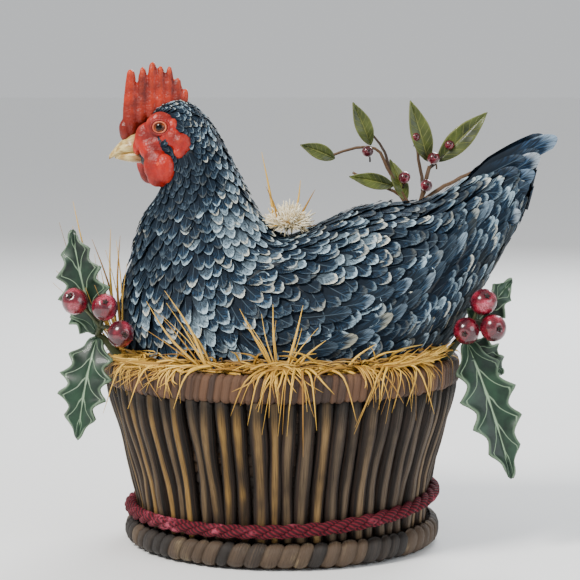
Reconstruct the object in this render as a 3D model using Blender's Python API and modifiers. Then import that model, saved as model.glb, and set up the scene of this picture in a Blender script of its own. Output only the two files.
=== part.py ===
"""Wind-up hopping hen sitting in a round wicker nest basket.

The basket stands on z = 0 with its axis on x = y = 0.  The hen faces -X, her left side is -Y and
her right side, with the winding key, is +Y.  Every axle of the clockwork motor lies along Y.
Dimensions below are in millimetres; MM turns them into Blender's metres.
"""
import math

import bmesh
import bpy
from mathutils import Matrix, Vector

MM = 0.001
GAP = 0.3                      # clearance left between neighbouring solids

# Basket, turned about Z
ROUND_STEPS = 36
FLOOR_RADIUS = 40.6
FLOOR_TOP = 3.2
FOOT_INNER = 41.0
FOOT_OUTER = 45.8
FOOT_TOP = 7.6
WALL_BOTTOM = FOOT_TOP + GAP
WALL_TOP = 46.2
WALL_THICKNESS = 3.0
WALL_OUTER = [(42.0, WALL_BOTTOM), (42.1, 12.0), (43.9, 22.0), (46.4, 31.5), (48.8, 40.0), (50.0, WALL_TOP)]
RIM_INNER = 46.9
RIM_OUTER = 51.5
RIM_TOP = 54.5
ROPE_RADIUS = 2.0
ROPE_LOW = 10.4
ROPE_RISE = 4.6
NEST_BOTTOM = WALL_TOP + 0.4
NEST_TOP = 51.5
NEST_OUTER = 46.5
NEST_HOLE_X = 44.4
NEST_HOLE_Y = 34.8
NEST_SQUARENESS = 2.6          # 2 is an ellipse; more fills the corners

# Hen body: stations from face to tail, each with its dorsal point, ventral point and half width
STATIONS = [
    ((-41.2, 118.0), (-40.6, 109.6), 3.8),
    ((-36.0, 124.3), (-36.5, 104.5), 8.0),
    ((-29.0, 126.7), (-34.5, 102.6), 10.5),
    ((-22.0, 122.0), (-36.0, 100.0), 11.5),
    ((-16.4, 112.6), (-38.0, 97.0), 13.0),
    ((-11.0, 102.0), (-40.5, 92.0), 16.0),
    ((-6.0, 93.0), (-43.0, 82.0), 20.5),
    ((0.0, 88.3), (-46.0, 68.0), 26.0),
    ((6.0, 89.5), (-43.0, 49.0), 30.5),
    ((14.0, 93.0), (-30.0, 29.0), 33.0),
    ((22.0, 96.0), (-8.0, 22.0), 34.0),
    ((31.0, 97.6), (14.0, 23.0), 33.0),
    ((40.0, 97.8), (32.0, 37.0), 30.0),
    ((48.0, 101.0), (43.0, 51.0), 25.0),
    ((56.0, 105.3), (52.0, 65.0), 18.0),
    ((64.0, 108.2), (61.0, 80.0), 10.0),
    ((73.0, 113.0), (70.0, 96.0), 3.5),
]
TAIL_STATION = 14.0
SHELL_THICKNESS = 0.9
SHELL_CUT_Z = 31.0
BELLY_TOP = SHELL_CUT_Z - GAP
BELLY_THICKNESS = 1.1
BELLY_CENTRE_X = -2.5
BELLY_HALF_X = 27.0
BELLY_HALF_Y = 22.6

# Clockwork motor: two plates with every axle along Y between them
PLATE_INNER_Y = 10.0
PLATE_THICKNESS = 1.0
PLATE_BOTTOM = BELLY_TOP + GAP
AXLE_RADIUS = 1.5
BEARING_RADIUS = AXLE_RADIUS + 0.1
BORE_RADIUS = AXLE_RADIUS + GAP
PILLAR_RADIUS = 1.5
MODULE_COARSE = 1.0
MODULE_FINE = 0.8
GREAT_TEETH = 36
SECOND_TEETH = 32
PINION_TEETH = 10
DRIVE_TEETH = 16
CRANK_AXLE_X = 11.0
CRANK_AXLE_Z = 41.0
CRANK_THROW = 3.0
CRANK_DISC_RADIUS = 5.2
CRANK_PIN_RADIUS = 1.0
SECOND_AXLE_X = 13.0
GREAT_AXLE_X = -8.2

drive_spacing = MODULE_FINE * DRIVE_TEETH
fine_spacing = MODULE_FINE * (SECOND_TEETH + PINION_TEETH) / 2
coarse_spacing = MODULE_COARSE * (GREAT_TEETH + PINION_TEETH) / 2
THIRD_AXLE_Z = CRANK_AXLE_Z + math.sqrt(drive_spacing ** 2 - CRANK_AXLE_X ** 2)
SECOND_AXLE_Z = THIRD_AXLE_Z + math.sqrt(fine_spacing ** 2 - SECOND_AXLE_X ** 2)
GREAT_AXLE_Z = SECOND_AXLE_Z + math.sqrt(coarse_spacing ** 2 - (SECOND_AXLE_X - GREAT_AXLE_X) ** 2)

FRONT_CRANK = (-CRANK_AXLE_X, CRANK_AXLE_Z)
REAR_CRANK = (CRANK_AXLE_X, CRANK_AXLE_Z)
THIRD_AXLE = (0.0, THIRD_AXLE_Z)
SECOND_AXLE = (SECOND_AXLE_X, SECOND_AXLE_Z)
GREAT_AXLE = (GREAT_AXLE_X, GREAT_AXLE_Z)
PILLARS = [(20.5, 37.5), (-20.5, 37.5), (17.5, 73.5), (-24.0, 82.0)]

LEG_INNER_Y = 13.9
LEG_THICKNESS = 1.8
FOOT_BOTTOM = FLOOR_TOP + GAP
FOOT_THICKNESS = 2.4
SHANK_HALF_WIDTH = 3.0

ARBOR_RADIUS = 2.2
CLICK_RADIUS = 12.0
KEY_INNER_Y = 37.0

MATERIALS = {
    "wicker": ((0.16, 0.10, 0.06), 0.75, 0.0),
    "rope": ((0.35, 0.04, 0.07), 0.8, 0.0),
    "straw": ((0.72, 0.53, 0.22), 0.8, 0.0),
    "holly_leaf": ((0.05, 0.14, 0.07), 0.45, 0.0),
    "berry": ((0.45, 0.02, 0.04), 0.25, 0.0),
    "feathers": ((0.05, 0.09, 0.14), 0.6, 0.0),
    "comb_red": ((0.55, 0.06, 0.03), 0.5, 0.0),
    "beak_ivory": ((0.75, 0.62, 0.36), 0.4, 0.0),
    "eye": ((0.03, 0.02, 0.02), 0.1, 0.0),
    "tin": ((0.62, 0.62, 0.6), 0.35, 1.0),
    "brass": ((0.78, 0.57, 0.25), 0.3, 1.0),
    "spring_steel": ((0.2, 0.24, 0.35), 0.3, 1.0),
    "foot_yellow": ((0.7, 0.42, 0.12), 0.45, 0.0),
}


# ---------------------------------------------------------------- scene helpers

def clear_scene():
    for obj in list(bpy.data.objects):
        bpy.data.objects.remove(obj, do_unlink=True)


def new_collection(name):
    collection = bpy.data.collections.new(name)
    bpy.context.scene.collection.children.link(collection)
    return collection


def get_material(slot):
    material = bpy.data.materials.get(slot)
    if material is None:
        colour, roughness, metallic = MATERIALS[slot]
        material = bpy.data.materials.new(slot)
        material.use_nodes = True
        shader = material.node_tree.nodes["Principled BSDF"]
        shader.inputs["Base Color"].default_value = (*colour, 1.0)
        shader.inputs["Roughness"].default_value = roughness
        shader.inputs["Metallic"].default_value = metallic
    return material


def register(obj, slot):
    """Puts a finished sub-part in the toy's collection with its material."""
    for collection in list(obj.users_collection):
        collection.objects.unlink(obj)
    toy.objects.link(obj)
    obj.data.materials.append(get_material(slot))
    return obj


def hide_cutter(obj):
    for collection in list(obj.users_collection):
        collection.objects.unlink(obj)
    cutters.objects.link(obj)
    obj.hide_render = True
    obj.display_type = "WIRE"
    return obj


def mesh_object(name, vertices, faces):
    """A mesh object from points in millimetres, its faces turned outward."""
    bm = bmesh.new()
    points = [bm.verts.new(Vector(vertex) * MM) for vertex in vertices]
    for face in faces:
        bm.faces.new([points[index] for index in face])
    bmesh.ops.recalc_face_normals(bm, faces=bm.faces)
    mesh = bpy.data.meshes.new(name)
    bm.to_mesh(mesh)
    bm.free()
    mesh.shade_smooth()
    mesh.set_sharp_from_angle(angle=math.radians(40))
    obj = bpy.data.objects.new(name, mesh)
    bpy.context.scene.collection.objects.link(obj)
    return obj


def boolean(target, tool, operation):
    modifier = target.modifiers.new(operation.title(), "BOOLEAN")
    modifier.operation = operation
    modifier.object = tool
    return target


def settle(obj):
    """Applies an object's modifiers, or turns a curve into a welded mesh, at the same place."""
    bpy.context.view_layer.update()
    evaluated = obj.evaluated_get(bpy.context.evaluated_depsgraph_get())
    mesh = bpy.data.meshes.new_from_object(evaluated)
    bm = bmesh.new()
    bm.from_mesh(mesh)
    bmesh.ops.remove_doubles(bm, verts=bm.verts, dist=1e-6)
    bm.to_mesh(mesh)
    bm.free()
    name = obj.name
    settled = bpy.data.objects.new(name + "_settled", mesh)
    settled.matrix_world = obj.matrix_world.copy()
    bpy.context.scene.collection.objects.link(settled)
    bpy.data.objects.remove(obj, do_unlink=True)
    settled.name = name
    return settled


def join_solids(name, solids):
    """Unites overlapping solids into one closed body."""
    body = solids[0]
    for solid in solids[1:]:
        boolean(body, hide_cutter(solid), "UNION")
    body = settle(body)
    for solid in solids[1:]:
        bpy.data.objects.remove(solid, do_unlink=True)
    body.name = name
    return body


def turned(name, profile, steps=ROUND_STEPS):
    """A closed ring: profile points (radius, z), down the outer side and up the inner one."""
    mesh = bpy.data.meshes.new(name)
    count = len(profile)
    edges = [(index, (index + 1) % count) for index in range(count)]
    mesh.from_pydata([(radius * MM, 0.0, z * MM) for radius, z in profile], edges, [])
    obj = bpy.data.objects.new(name, mesh)
    bpy.context.scene.collection.objects.link(obj)
    screw = obj.modifiers.new("Turn", "SCREW")
    screw.steps = steps
    screw.render_steps = steps
    screw.use_merge_vertices = True
    screw.merge_threshold = 1e-5
    screw.use_normal_calculate = False
    return obj


def cylinder(name, radius, depth, segments=16):
    bpy.ops.mesh.primitive_cylinder_add(vertices=segments, radius=radius * MM, depth=depth * MM)
    obj = bpy.context.object
    obj.name = name
    obj.data.shade_smooth()
    obj.data.set_sharp_from_angle(angle=math.radians(40))
    return obj


def rod(name, axle, low_y, high_y, radius, segments=12):
    """A round bar along Y through the point axle = (x, z)."""
    obj = cylinder(name, radius, high_y - low_y, segments)
    obj.rotation_euler = (math.radians(90), 0.0, 0.0)
    obj.location = Vector((axle[0], (low_y + high_y) / 2, axle[1])) * MM
    return obj


def outline_curve(name, loops, thickness):
    """A flat plate: the first loop is its edge and the others are holes; points in millimetres."""
    curve = bpy.data.curves.new(name, "CURVE")
    curve.dimensions = "2D"
    curve.fill_mode = "BOTH"
    curve.extrude = thickness / 2 * MM
    for loop in loops:
        spline = curve.splines.new("POLY")
        spline.points.add(len(loop) - 1)
        for point, (u, v) in zip(spline.points, loop):
            point.co = (u * MM, v * MM, 0.0, 1.0)
        spline.use_cyclic_u = True
    obj = bpy.data.objects.new(name, curve)
    bpy.context.scene.collection.objects.link(obj)
    return obj


def side_plate(name, loops, low_y, high_y, axle=(0.0, 0.0)):
    """A plate standing in the XZ plane, its outline counted from the point axle."""
    obj = outline_curve(name, loops, high_y - low_y)
    obj.rotation_euler = (math.radians(90), 0.0, 0.0)
    obj.location = Vector((axle[0], (low_y + high_y) / 2, axle[1])) * MM
    return obj


def level_plate(name, loops, low_z, high_z):
    obj = outline_curve(name, loops, high_z - low_z)
    obj.location.z = (low_z + high_z) / 2 * MM
    return obj


def circle_points(radius, count, centre=(0.0, 0.0)):
    turn = 2 * math.pi / count
    return [
        (centre[0] + radius * math.cos(turn * index), centre[1] + radius * math.sin(turn * index))
        for index in range(count)
    ]


def tube(name, points, radii, resolution=1, cyclic=False):
    """A round wire or stem through points, with a radius at each one."""
    curve = bpy.data.curves.new(name, "CURVE")
    curve.dimensions = "3D"
    curve.bevel_depth = 1.0 * MM
    curve.bevel_resolution = resolution
    curve.use_fill_caps = True
    spline = curve.splines.new("POLY")
    spline.points.add(len(points) - 1)
    for control, point, radius in zip(spline.points, points, radii):
        control.co = (*(Vector(point) * MM), 1.0)
        control.radius = radius
    spline.use_cyclic_u = cyclic
    obj = bpy.data.objects.new(name, curve)
    bpy.context.scene.collection.objects.link(obj)
    return obj


def ball(name, centre, radii, segments=12, rings=8):
    bpy.ops.mesh.primitive_uv_sphere_add(segments=segments, ring_count=rings, radius=1.0)
    obj = bpy.context.object
    obj.name = name
    obj.data.transform(Matrix.Diagonal((*(Vector(radii) * MM), 1.0)))
    obj.data.transform(Matrix.Translation(Vector(centre) * MM))
    obj.data.shade_smooth()
    return obj


def loft_rings(name, rings):
    """A closed solid through rings of equal point count, with flat ends."""
    count = len(rings[0])
    vertices = [point for ring in rings for point in ring]
    faces = [list(range(count)), [len(vertices) - count + index for index in range(count)]]
    for row in range(len(rings) - 1):
        for index in range(count):
            following = (index + 1) % count
            low = row * count
            faces.append([low + index, low + following, low + count + following, low + count + index])
    return mesh_object(name, vertices, faces)


def pivot(name, axle):
    """An empty on a joint's axis; the pieces that turn together hang from it."""
    empty = bpy.data.objects.new(name, None)
    empty.location = Vector((axle[0], 0.0, axle[1])) * MM
    toy.objects.link(empty)
    return empty


def hang(pieces, empty):
    for piece in pieces:
        piece.parent = empty
        piece.matrix_parent_inverse = Matrix.Translation(-empty.location)


# ---------------------------------------------------------------- basket and trim

def make_basket():
    disc = cylinder("basket_floor", FLOOR_RADIUS, FLOOR_TOP, ROUND_STEPS)
    disc.location.z = FLOOR_TOP / 2 * MM
    register(disc, "wicker")
    foot = [
        (FOOT_OUTER - 1.4, FOOT_TOP), (FOOT_OUTER, FOOT_TOP - 2.0), (FOOT_OUTER, 1.8),
        (FOOT_OUTER - 1.2, 0.0), (FOOT_INNER, 0.0), (FOOT_INNER, FOOT_TOP),
    ]
    register(turned("basket_foot", foot), "wicker")
    inner = [(radius - WALL_THICKNESS, z) for radius, z in reversed(WALL_OUTER)]
    outer = list(reversed(WALL_OUTER))
    register(turned("basket_wall", outer + list(reversed(inner))), "wicker")
    rim = [
        (RIM_OUTER - 1.6, RIM_TOP), (RIM_OUTER, RIM_TOP - 2.2), (RIM_OUTER, WALL_TOP + 2.2),
        (RIM_OUTER - 1.4, WALL_TOP + GAP), (RIM_INNER, WALL_TOP + GAP), (RIM_INNER, RIM_TOP - 1.2),
        (RIM_INNER + 1.2, RIM_TOP),
    ]
    register(turned("basket_rim", rim), "wicker")


def make_rope():
    count = 44
    points = []
    for index in range(count):
        angle = 2 * math.pi * index / count
        rise = ROPE_RISE * ((1 + math.cos(angle)) / 2) ** 3
        radius = WALL_OUTER[1][0] + ROPE_RADIUS + GAP + 0.16 * rise + 0.2
        height = ROPE_LOW + rise
        points.append((radius * math.cos(angle), radius * math.sin(angle), height))
    rope = tube("rope_band", points, [ROPE_RADIUS] * count, resolution=1, cyclic=True)
    register(rope, "rope")


def make_nest():
    """The straw ring between the hen and the rim: round outside, oval inside."""
    count = ROUND_STEPS
    outer = circle_points(NEST_OUTER, count)
    power = 2 / NEST_SQUARENESS
    hole = []
    for u, v in circle_points(1.0, count):
        x = math.copysign(NEST_HOLE_X * abs(u) ** power, u)
        y = math.copysign(NEST_HOLE_Y * abs(v) ** power, v)
        hole.append((x, y))
    vertices = []
    for loop, height in ((outer, NEST_BOTTOM), (outer, NEST_TOP), (hole, NEST_TOP), (hole, NEST_BOTTOM)):
        vertices += [(x, y, height) for x, y in loop]
    faces = []
    for ring in range(4):
        low = ring * count
        high = (ring + 1) % 4 * count
        for index in range(count):
            following = (index + 1) % count
            faces.append([low + index, low + following, high + following, high + index])
    register(mesh_object("straw_nest", vertices, faces), "straw")


def leaf_blade(name, base, tip, normal, half_width, thickness=0.6):
    """A flat pointed leaf from base to tip, lying across the given normal."""
    start, end = Vector(base), Vector(tip)
    along = end - start
    across = along.cross(Vector(normal)).normalized()
    up = across.cross(along).normalized() * thickness / 2
    rings = []
    for fraction, width in ((0.0, 0.15), (0.2, 0.75), (0.45, 1.0), (0.75, 0.62), (1.0, 0.1)):
        centre = start + along * fraction
        side = across * half_width * width
        rings.append([centre - side - up, centre + side - up, centre + side + up, centre - side + up])
    return loft_rings(name, rings)


def make_holly(side_name, root, leaves, berries):
    """Leaves and berries of one holly sprig, both fixed to the rim at root."""
    stem = tube("stem", [root["foot"], root["hub"]], [1.0, 1.0])
    solids = [settle(stem)]
    for index, (tip, normal, half_width) in enumerate(leaves):
        solids.append(leaf_blade("blade_%d" % index, root["hub"], tip, normal, half_width, 1.0))
    register(join_solids("holly_leaves_" + side_name, solids), "holly_leaf")
    hub = root["berry_hub"]
    solids = [ball("hub", hub, (1.2, 1.2, 1.2), 8, 6)]
    for index, centre in enumerate(berries):
        solids.append(settle(tube("stalk_%d" % index, [hub, centre], [0.7, 0.7])))
        solids.append(ball("berry_%d" % index, centre, (3.6, 3.6, 3.6), 10, 6))
    register(join_solids("holly_berries_" + side_name, solids), "berry")


def make_twig():
    """The berry twig that is pushed into the straw behind the hen."""
    depth = 39.0
    stem = [(33.0, 35.5, 56.0), (37.5, 37.5, 72.0), (41.0, depth, 90.0), (45.0, depth, 107.0)]
    branches = [
        [(41.3, depth, 91.0), (33.0, depth, 105.0), (27.0, depth, 113.0), (12.0, depth, 108.5)],
        [(36.9, depth + 0.1, 98.3), (22.0, depth - 0.4, 104.0)],
        [(44.4, depth + 0.2, 105.2), (39.5, depth, 122.0)],
        [(43.4, depth - 0.1, 101.0), (59.0, depth - 0.2, 119.5)],
        [(28.6, depth + 0.1, 110.5), (22.5, depth + 0.4, 122.0)],
    ]
    solids = [settle(tube("main_stem", stem, [1.1, 1.05, 1.0, 0.8]))]
    for index, route in enumerate(branches):
        radius = 0.82 - 0.04 * index
        solids.append(settle(tube("branch_%d" % index, route, [radius] * len(route))))
    register(join_solids("berry_twig", solids), "holly_leaf")


# ---------------------------------------------------------------- hen shells

def station_value(values, position):
    """Smooth (Catmull-Rom) value along the row of stations."""
    last = len(values) - 1
    index = min(int(position), last - 1)
    part = position - index
    before = values[max(index - 1, 0)]
    start = values[index]
    end = values[index + 1]
    after = values[min(index + 2, last)]
    slope_start = (end - before) / 2
    slope_end = (after - start) / 2
    square, cube = part * part, part ** 3
    return (
        start * (2 * cube - 3 * square + 1) + slope_start * (cube - 2 * square + part)
        + end * (3 * square - 2 * cube) + slope_end * (cube - square)
    )


def hen_point(position, angle, outward=0.0):
    """A point of the hen's skin; angle runs from 0 on her back to pi below, on the +Y side."""
    top = Vector((station_value([s[0][0] for s in STATIONS], position), 0.0,
                  station_value([s[0][1] for s in STATIONS], position)))
    bottom = Vector((station_value([s[1][0] for s in STATIONS], position), 0.0,
                     station_value([s[1][1] for s in STATIONS], position)))
    half = (top - bottom) / 2
    half *= 1 + outward / half.length
    width = station_value([s[2] for s in STATIONS], position) + outward
    side = Vector((0.0, width * math.sin(angle), 0.0))
    return (top + bottom) / 2 + half * math.cos(angle) + side


def mirrored(point, side):
    return (point.x, point.y * side, point.z)


def skin_patch(name, rows, thickness, side):
    """A thin shell over a grid of (position, angle) values, thickened away from the grid."""
    columns = len(rows[0])
    vertices = [mirrored(hen_point(*node), side) for row in rows for node in row]
    faces = []
    for row in range(len(rows) - 1):
        for column in range(columns - 1):
            low = row * columns + column
            quad = [low, low + columns, low + columns + 1, low + 1]
            faces.append(quad if side > 0 else quad[::-1])
    mesh = bpy.data.meshes.new(name)
    mesh.from_pydata([Vector(vertex) * MM for vertex in vertices], [], faces)
    mesh.shade_smooth()
    obj = bpy.data.objects.new(name, mesh)
    bpy.context.scene.collection.objects.link(obj)
    solid = obj.modifiers.new("Thickness", "SOLIDIFY")
    solid.thickness = abs(thickness) * MM
    solid.offset = -1.0 if thickness < 0 else 1.0
    return obj


def even(low, high, count):
    return [low + (high - low) * index / (count - 1) for index in range(count)]


def hen_solid(name, outward):
    """The whole hen as one closed solid, grown outward: a cutter for what sits on her skin."""
    rings = []
    for position in even(0.0, 16.0, 33):
        ring = [tuple(hen_point(position, angle, outward)) for angle in even(0, math.pi, 11)]
        ring += [(x, -y, z) for x, y, z in reversed(ring[1:-1])]
        rings.append(ring)
    return loft_rings(name, rings)


def block(name, low, high):
    bpy.ops.mesh.primitive_cube_add(size=1.0)
    obj = bpy.context.object
    obj.name = name
    size = (Vector(high) - Vector(low)) * MM
    centre = (Vector(high) + Vector(low)) / 2 * MM
    obj.data.transform(Matrix.Translation(centre) @ Matrix.Diagonal((*size, 1.0)))
    return obj


def make_shells():
    trim = hide_cutter(block("belly_cut", (-70.0, -60.0, 0.0), (90.0, 60.0, SHELL_CUT_Z)))
    key_hole = hide_cutter(rod("key_hole_cut", GREAT_AXLE, 15.0, 60.0, ARBOR_RADIUS + 1.1, 16))
    for side, side_name in ((-1, "left"), (1, "right")):
        near, far = sorted((side * GAP / 2, -side * 60.0))
        seam = hide_cutter(block("seam_cut_" + side_name, (-70.0, near, 0.0), (90.0, far, 150.0)))
        rows = [[(position, angle) for angle in even(0.0, math.pi, 11)]
                for position in even(0.0, TAIL_STATION - 0.05, 23)]
        shell = skin_patch("body_shell_" + side_name, rows, -SHELL_THICKNESS, side)
        boolean(shell, trim, "DIFFERENCE")
        boolean(shell, seam, "DIFFERENCE")
        if side > 0:
            boolean(shell, key_hole, "DIFFERENCE")
        register(shell, "feathers")
    return key_hole


def make_tail():
    rings = []
    for position in even(TAIL_STATION + 0.05, 16.0, 6):
        ring = [tuple(hen_point(position, angle)) for angle in even(0, math.pi, 8)]
        ring += [(x, -y, z) for x, y, z in reversed(ring[1:-1])]
        rings.append(ring)
    hollow = []
    for position in even(TAIL_STATION - 0.3, 15.4, 5):
        ring = [tuple(hen_point(position, angle, -1.4)) for angle in even(0, math.pi, 8)]
        ring += [(x, -y, z) for x, y, z in reversed(ring[1:-1])]
        hollow.append(ring)
    tail = loft_rings("tail", rings)
    boolean(tail, hide_cutter(loft_rings("tail_hollow_cut", hollow)), "DIFFERENCE")
    register(tail, "feathers")


def make_wings(key_hole):
    """A pressed wing cover on each flank, following the body's skin."""
    for side, side_name in ((-1, "left"), (1, "right")):
        rows = []
        for fraction in even(0.0, 1.0, 9):
            position = 7.9 + 5.7 * fraction
            spread = math.radians(31) * math.sqrt(math.sin(math.pi * (0.08 + 0.84 * fraction)))
            centre = math.radians(70 - 8 * fraction)
            rows.append([(position, angle, 0.4) for angle in even(centre - spread, centre + spread, 6)])
        wing = skin_patch("wing_" + side_name, rows, 1.1, side)
        if side > 0:
            boolean(wing, key_hole, "DIFFERENCE")
        register(wing, "feathers")


def make_face(face_clearance, skin_clearance):
    for side, side_name in ((-1, "left"), (1, "right")):
        rows = []
        for fraction in even(0.0, 1.0, 6):
            position = 0.45 + 2.1 * fraction
            spread = math.radians(34) * math.sqrt(math.sin(math.pi * (0.12 + 0.76 * fraction)))
            centre = math.radians(84 + 12 * fraction)
            rows.append([(position, angle, 0.35) for angle in even(centre - spread, centre + spread, 6)])
        register(skin_patch("face_patch_" + side_name, rows, 0.8, side), "comb_red")
        eye = ball("eye_" + side_name, (-34.4, side * 9.0, 119.7), (2.1, 2.0, 2.1), 12, 8)
        register(boolean(eye, face_clearance, "DIFFERENCE"), "eye")
        wattle_x = -36.0 if side < 0 else -38.5
        wattle = ball("wattle_" + side_name, (wattle_x, side * 8.2, 108.6), (4.6, 2.7, 6.6), 12, 10)
        register(boolean(wattle, face_clearance, "DIFFERENCE"), "comb_red")
    make_comb(skin_clearance)
    make_beak()


def make_comb(skin_clearance):
    points = [
        (-22.5, 124.0), (-26.4, 128.2), (-28.9, 131.1), (-31.5, 134.5), (-32.9, 136.8), (-34.3, 136.6),
        (-35.2, 134.6), (-36.8, 137.7), (-38.4, 132.8), (-39.9, 136.1), (-41.1, 132.4), (-43.2, 135.3),
        (-44.6, 134.0), (-45.8, 127.0), (-46.6, 119.4), (-41.0, 119.2), (-33.0, 119.0),
    ]
    comb = settle(side_plate("comb", [points], -1.5, 1.5))
    register(boolean(comb, skin_clearance, "DIFFERENCE"), "comb_red")


def oval_ring(x, z, half_height, half_width, count=10):
    return [(x, half_width * u, z + half_height * v) for u, v in circle_points(1.0, count)]


def make_beak():
    upper = [(-41.7, 115.4, 3.0, 3.2), (-44.5, 114.8, 2.6, 2.6), (-47.5, 113.2, 1.7, 1.6), (-49.6, 111.3, 0.5, 0.5)]
    lower = [(-41.7, 110.9, 1.1, 2.6), (-44.5, 110.9, 0.9, 2.0), (-47.2, 110.6, 0.5, 1.0)]
    register(loft_rings("beak_upper", [oval_ring(*section) for section in upper]), "beak_ivory")
    register(loft_rings("beak_lower", [oval_ring(*section) for section in lower]), "beak_ivory")


def make_belly_plate():
    count = 32
    edge = [(BELLY_CENTRE_X + BELLY_HALF_X * u, BELLY_HALF_Y * v) for u, v in circle_points(1.0, count)]
    slot_half_x = SHANK_HALF_WIDTH + CRANK_THROW + 0.8
    slots = []
    for side in (-1, 1):
        low, high = LEG_INNER_Y - 0.9, LEG_INNER_Y + LEG_THICKNESS + 0.9
        slots.append([(-slot_half_x, side * low), (slot_half_x, side * low),
                      (slot_half_x, side * high), (-slot_half_x, side * high)])
    plate = level_plate("belly_plate", [edge] + slots, BELLY_TOP - BELLY_THICKNESS, BELLY_TOP)
    register(plate, "tin")


# ---------------------------------------------------------------- clockwork motor

def gear_outline(teeth, module, phase):
    """Tooth edge of a spur gear whose first tooth points along phase."""
    pitch_radius = teeth * module / 2
    tip = pitch_radius + 0.88 * module
    root = pitch_radius - 1.12 * module
    turn = 2 * math.pi / teeth
    points = []
    for tooth in range(teeth):
        centre = phase + turn * tooth
        for offset, radius in ((-0.30, root), (-0.085, tip), (0.085, tip), (0.30, root)):
            angle = centre + offset * turn
            points.append((radius * math.cos(angle), radius * math.sin(angle)))
    return points


def gear(name, teeth, module, phase, axle, low_y, high_y, bore=BORE_RADIUS, windows=()):
    loops = [gear_outline(teeth, module, phase), circle_points(bore, 12)] + list(windows)
    return register(side_plate(name, loops, low_y, high_y, axle), "brass")


def meshing_phase(axle, teeth, phase, other_axle, other_teeth):
    """Phase of the second gear so that its gap faces the first gear's tooth."""
    line = math.atan2(other_axle[1] - axle[1], other_axle[0] - axle[0])
    return line + math.pi + (math.pi - teeth * (phase - line)) / other_teeth


def wheel_windows(count, inner, outer, half_angle):
    """Sector-shaped holes between a wheel's spokes."""
    windows = []
    for index in range(count):
        middle = 2 * math.pi * (index + 0.5) / count
        outer_arc = [(outer * math.cos(middle + a), outer * math.sin(middle + a))
                     for a in even(-half_angle, half_angle, 4)]
        inner_arc = [(inner * math.cos(middle + a), inner * math.sin(middle + a))
                     for a in even(half_angle * 0.8, -half_angle * 0.8, 3)]
        windows.append(outer_arc + inner_arc)
    return windows


def make_frame():
    edge = [
        (17.0, PLATE_BOTTOM), (23.0, 38.0), (23.0, 55.0), (21.0, 76.0), (12.0, 78.5), (-6.0, 84.0),
        (-22.0, 86.0), (-28.5, 81.0), (-28.5, 53.0), (-23.0, 36.0), (-19.0, PLATE_BOTTOM),
    ]
    holes = [circle_points(BEARING_RADIUS, 12, axle)
             for axle in (FRONT_CRANK, REAR_CRANK, THIRD_AXLE, SECOND_AXLE)]
    holes.append(circle_points(ARBOR_RADIUS + 0.1, 12, GREAT_AXLE))
    for side, side_name in ((-1, "left"), (1, "right")):
        inner, outer = side * PLATE_INNER_Y, side * (PLATE_INNER_Y + PLATE_THICKNESS)
        plate = side_plate("frame_plate_" + side_name, [edge] + holes, min(inner, outer), max(inner, outer))
        register(plate, "tin")
    for index, place in enumerate(PILLARS):
        reach = PLATE_INNER_Y - GAP
        register(rod("frame_pillar_%d" % (index + 1), place, -reach, reach, PILLAR_RADIUS, 8), "tin")


def make_mainspring():
    """A flat coiled ribbon round the winding arbor, its outer end led to a frame pillar."""
    turns, per_turn, ribbon = 6.0, 18, 0.6
    first, last = ARBOR_RADIUS + GAP, 12.2
    pillar = PILLARS[3]
    end_angle = math.atan2(pillar[1] - GREAT_AXLE[1], pillar[0] - GREAT_AXLE[0])
    reach = math.hypot(pillar[0] - GREAT_AXLE[0], pillar[1] - GREAT_AXLE[1]) - PILLAR_RADIUS - GAP - ribbon
    count = int(turns * per_turn)
    inner_edge, outer_edge = [], []
    for index in range(count + 1):
        travelled = index / count
        radius = first + (last - first) * travelled
        angle = end_angle - 2 * math.pi * turns * (1 - travelled)
        tail = max(0.0, (travelled - 1 + 0.3 / turns) * turns / 0.3)
        radius += (reach - last) * tail ** 1.5
        inner_edge.append((radius * math.cos(angle), radius * math.sin(angle)))
        outer_edge.append(((radius + ribbon) * math.cos(angle), (radius + ribbon) * math.sin(angle)))
    loop = outer_edge + inner_edge[::-1]
    register(side_plate("mainspring", [loop], -5.5, 4.3, GREAT_AXLE), "spring_steel")


def make_great_wheel(phase):
    windows = wheel_windows(4, 5.6, 8.6, math.radians(30))
    wheel = gear("great_wheel", GREAT_TEETH, MODULE_COARSE, phase, GREAT_AXLE, 5.0, 7.0,
                 bore=ARBOR_RADIUS + 0.1, windows=windows)
    click_angle = math.radians(60)
    place = (GREAT_AXLE[0] + CLICK_RADIUS * math.cos(click_angle),
             GREAT_AXLE[1] + CLICK_RADIUS * math.sin(click_angle))
    pin = register(rod("click_pin", place, 7.0 + GAP, 9.5, 1.0, 10), "tin")
    lean = click_angle + math.radians(33)
    along = (-math.sin(lean), math.cos(lean))
    inward = (-math.cos(lean), -math.sin(lean))
    shape = ((-2.2, -1.2), (-1.2, -2.1), (1.4, -2.1), (4.0, -1.1), (7.6, 1.9), (7.9, 3.0), (5.6, 2.6),
             (2.0, 1.6), (0.6, 2.1), (-1.2, 1.9), (-2.2, 0.8))
    edge = [(u * along[0] + v * inward[0], u * along[1] + v * inward[1]) for u, v in shape]
    click = side_plate("click", [edge, circle_points(1.1, 10)], 7.4, 8.9, place)
    register(click, "tin")
    spring_shape = [(-2.6, -3.2), (1.0, -3.5), (4.2, -2.6), (6.4, -0.9)]
    route = [(place[0] + u * along[0] + v * inward[0], 8.1, place[1] + u * along[1] + v * inward[1])
             for u, v in spring_shape]
    foot = (route[0][0], 7.4, route[0][2])
    spring = tube("click_spring", [foot] + route, [0.3] * (len(route) + 1))
    register(spring, "spring_steel")
    return [wheel, pin, spring], [click], place


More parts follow.
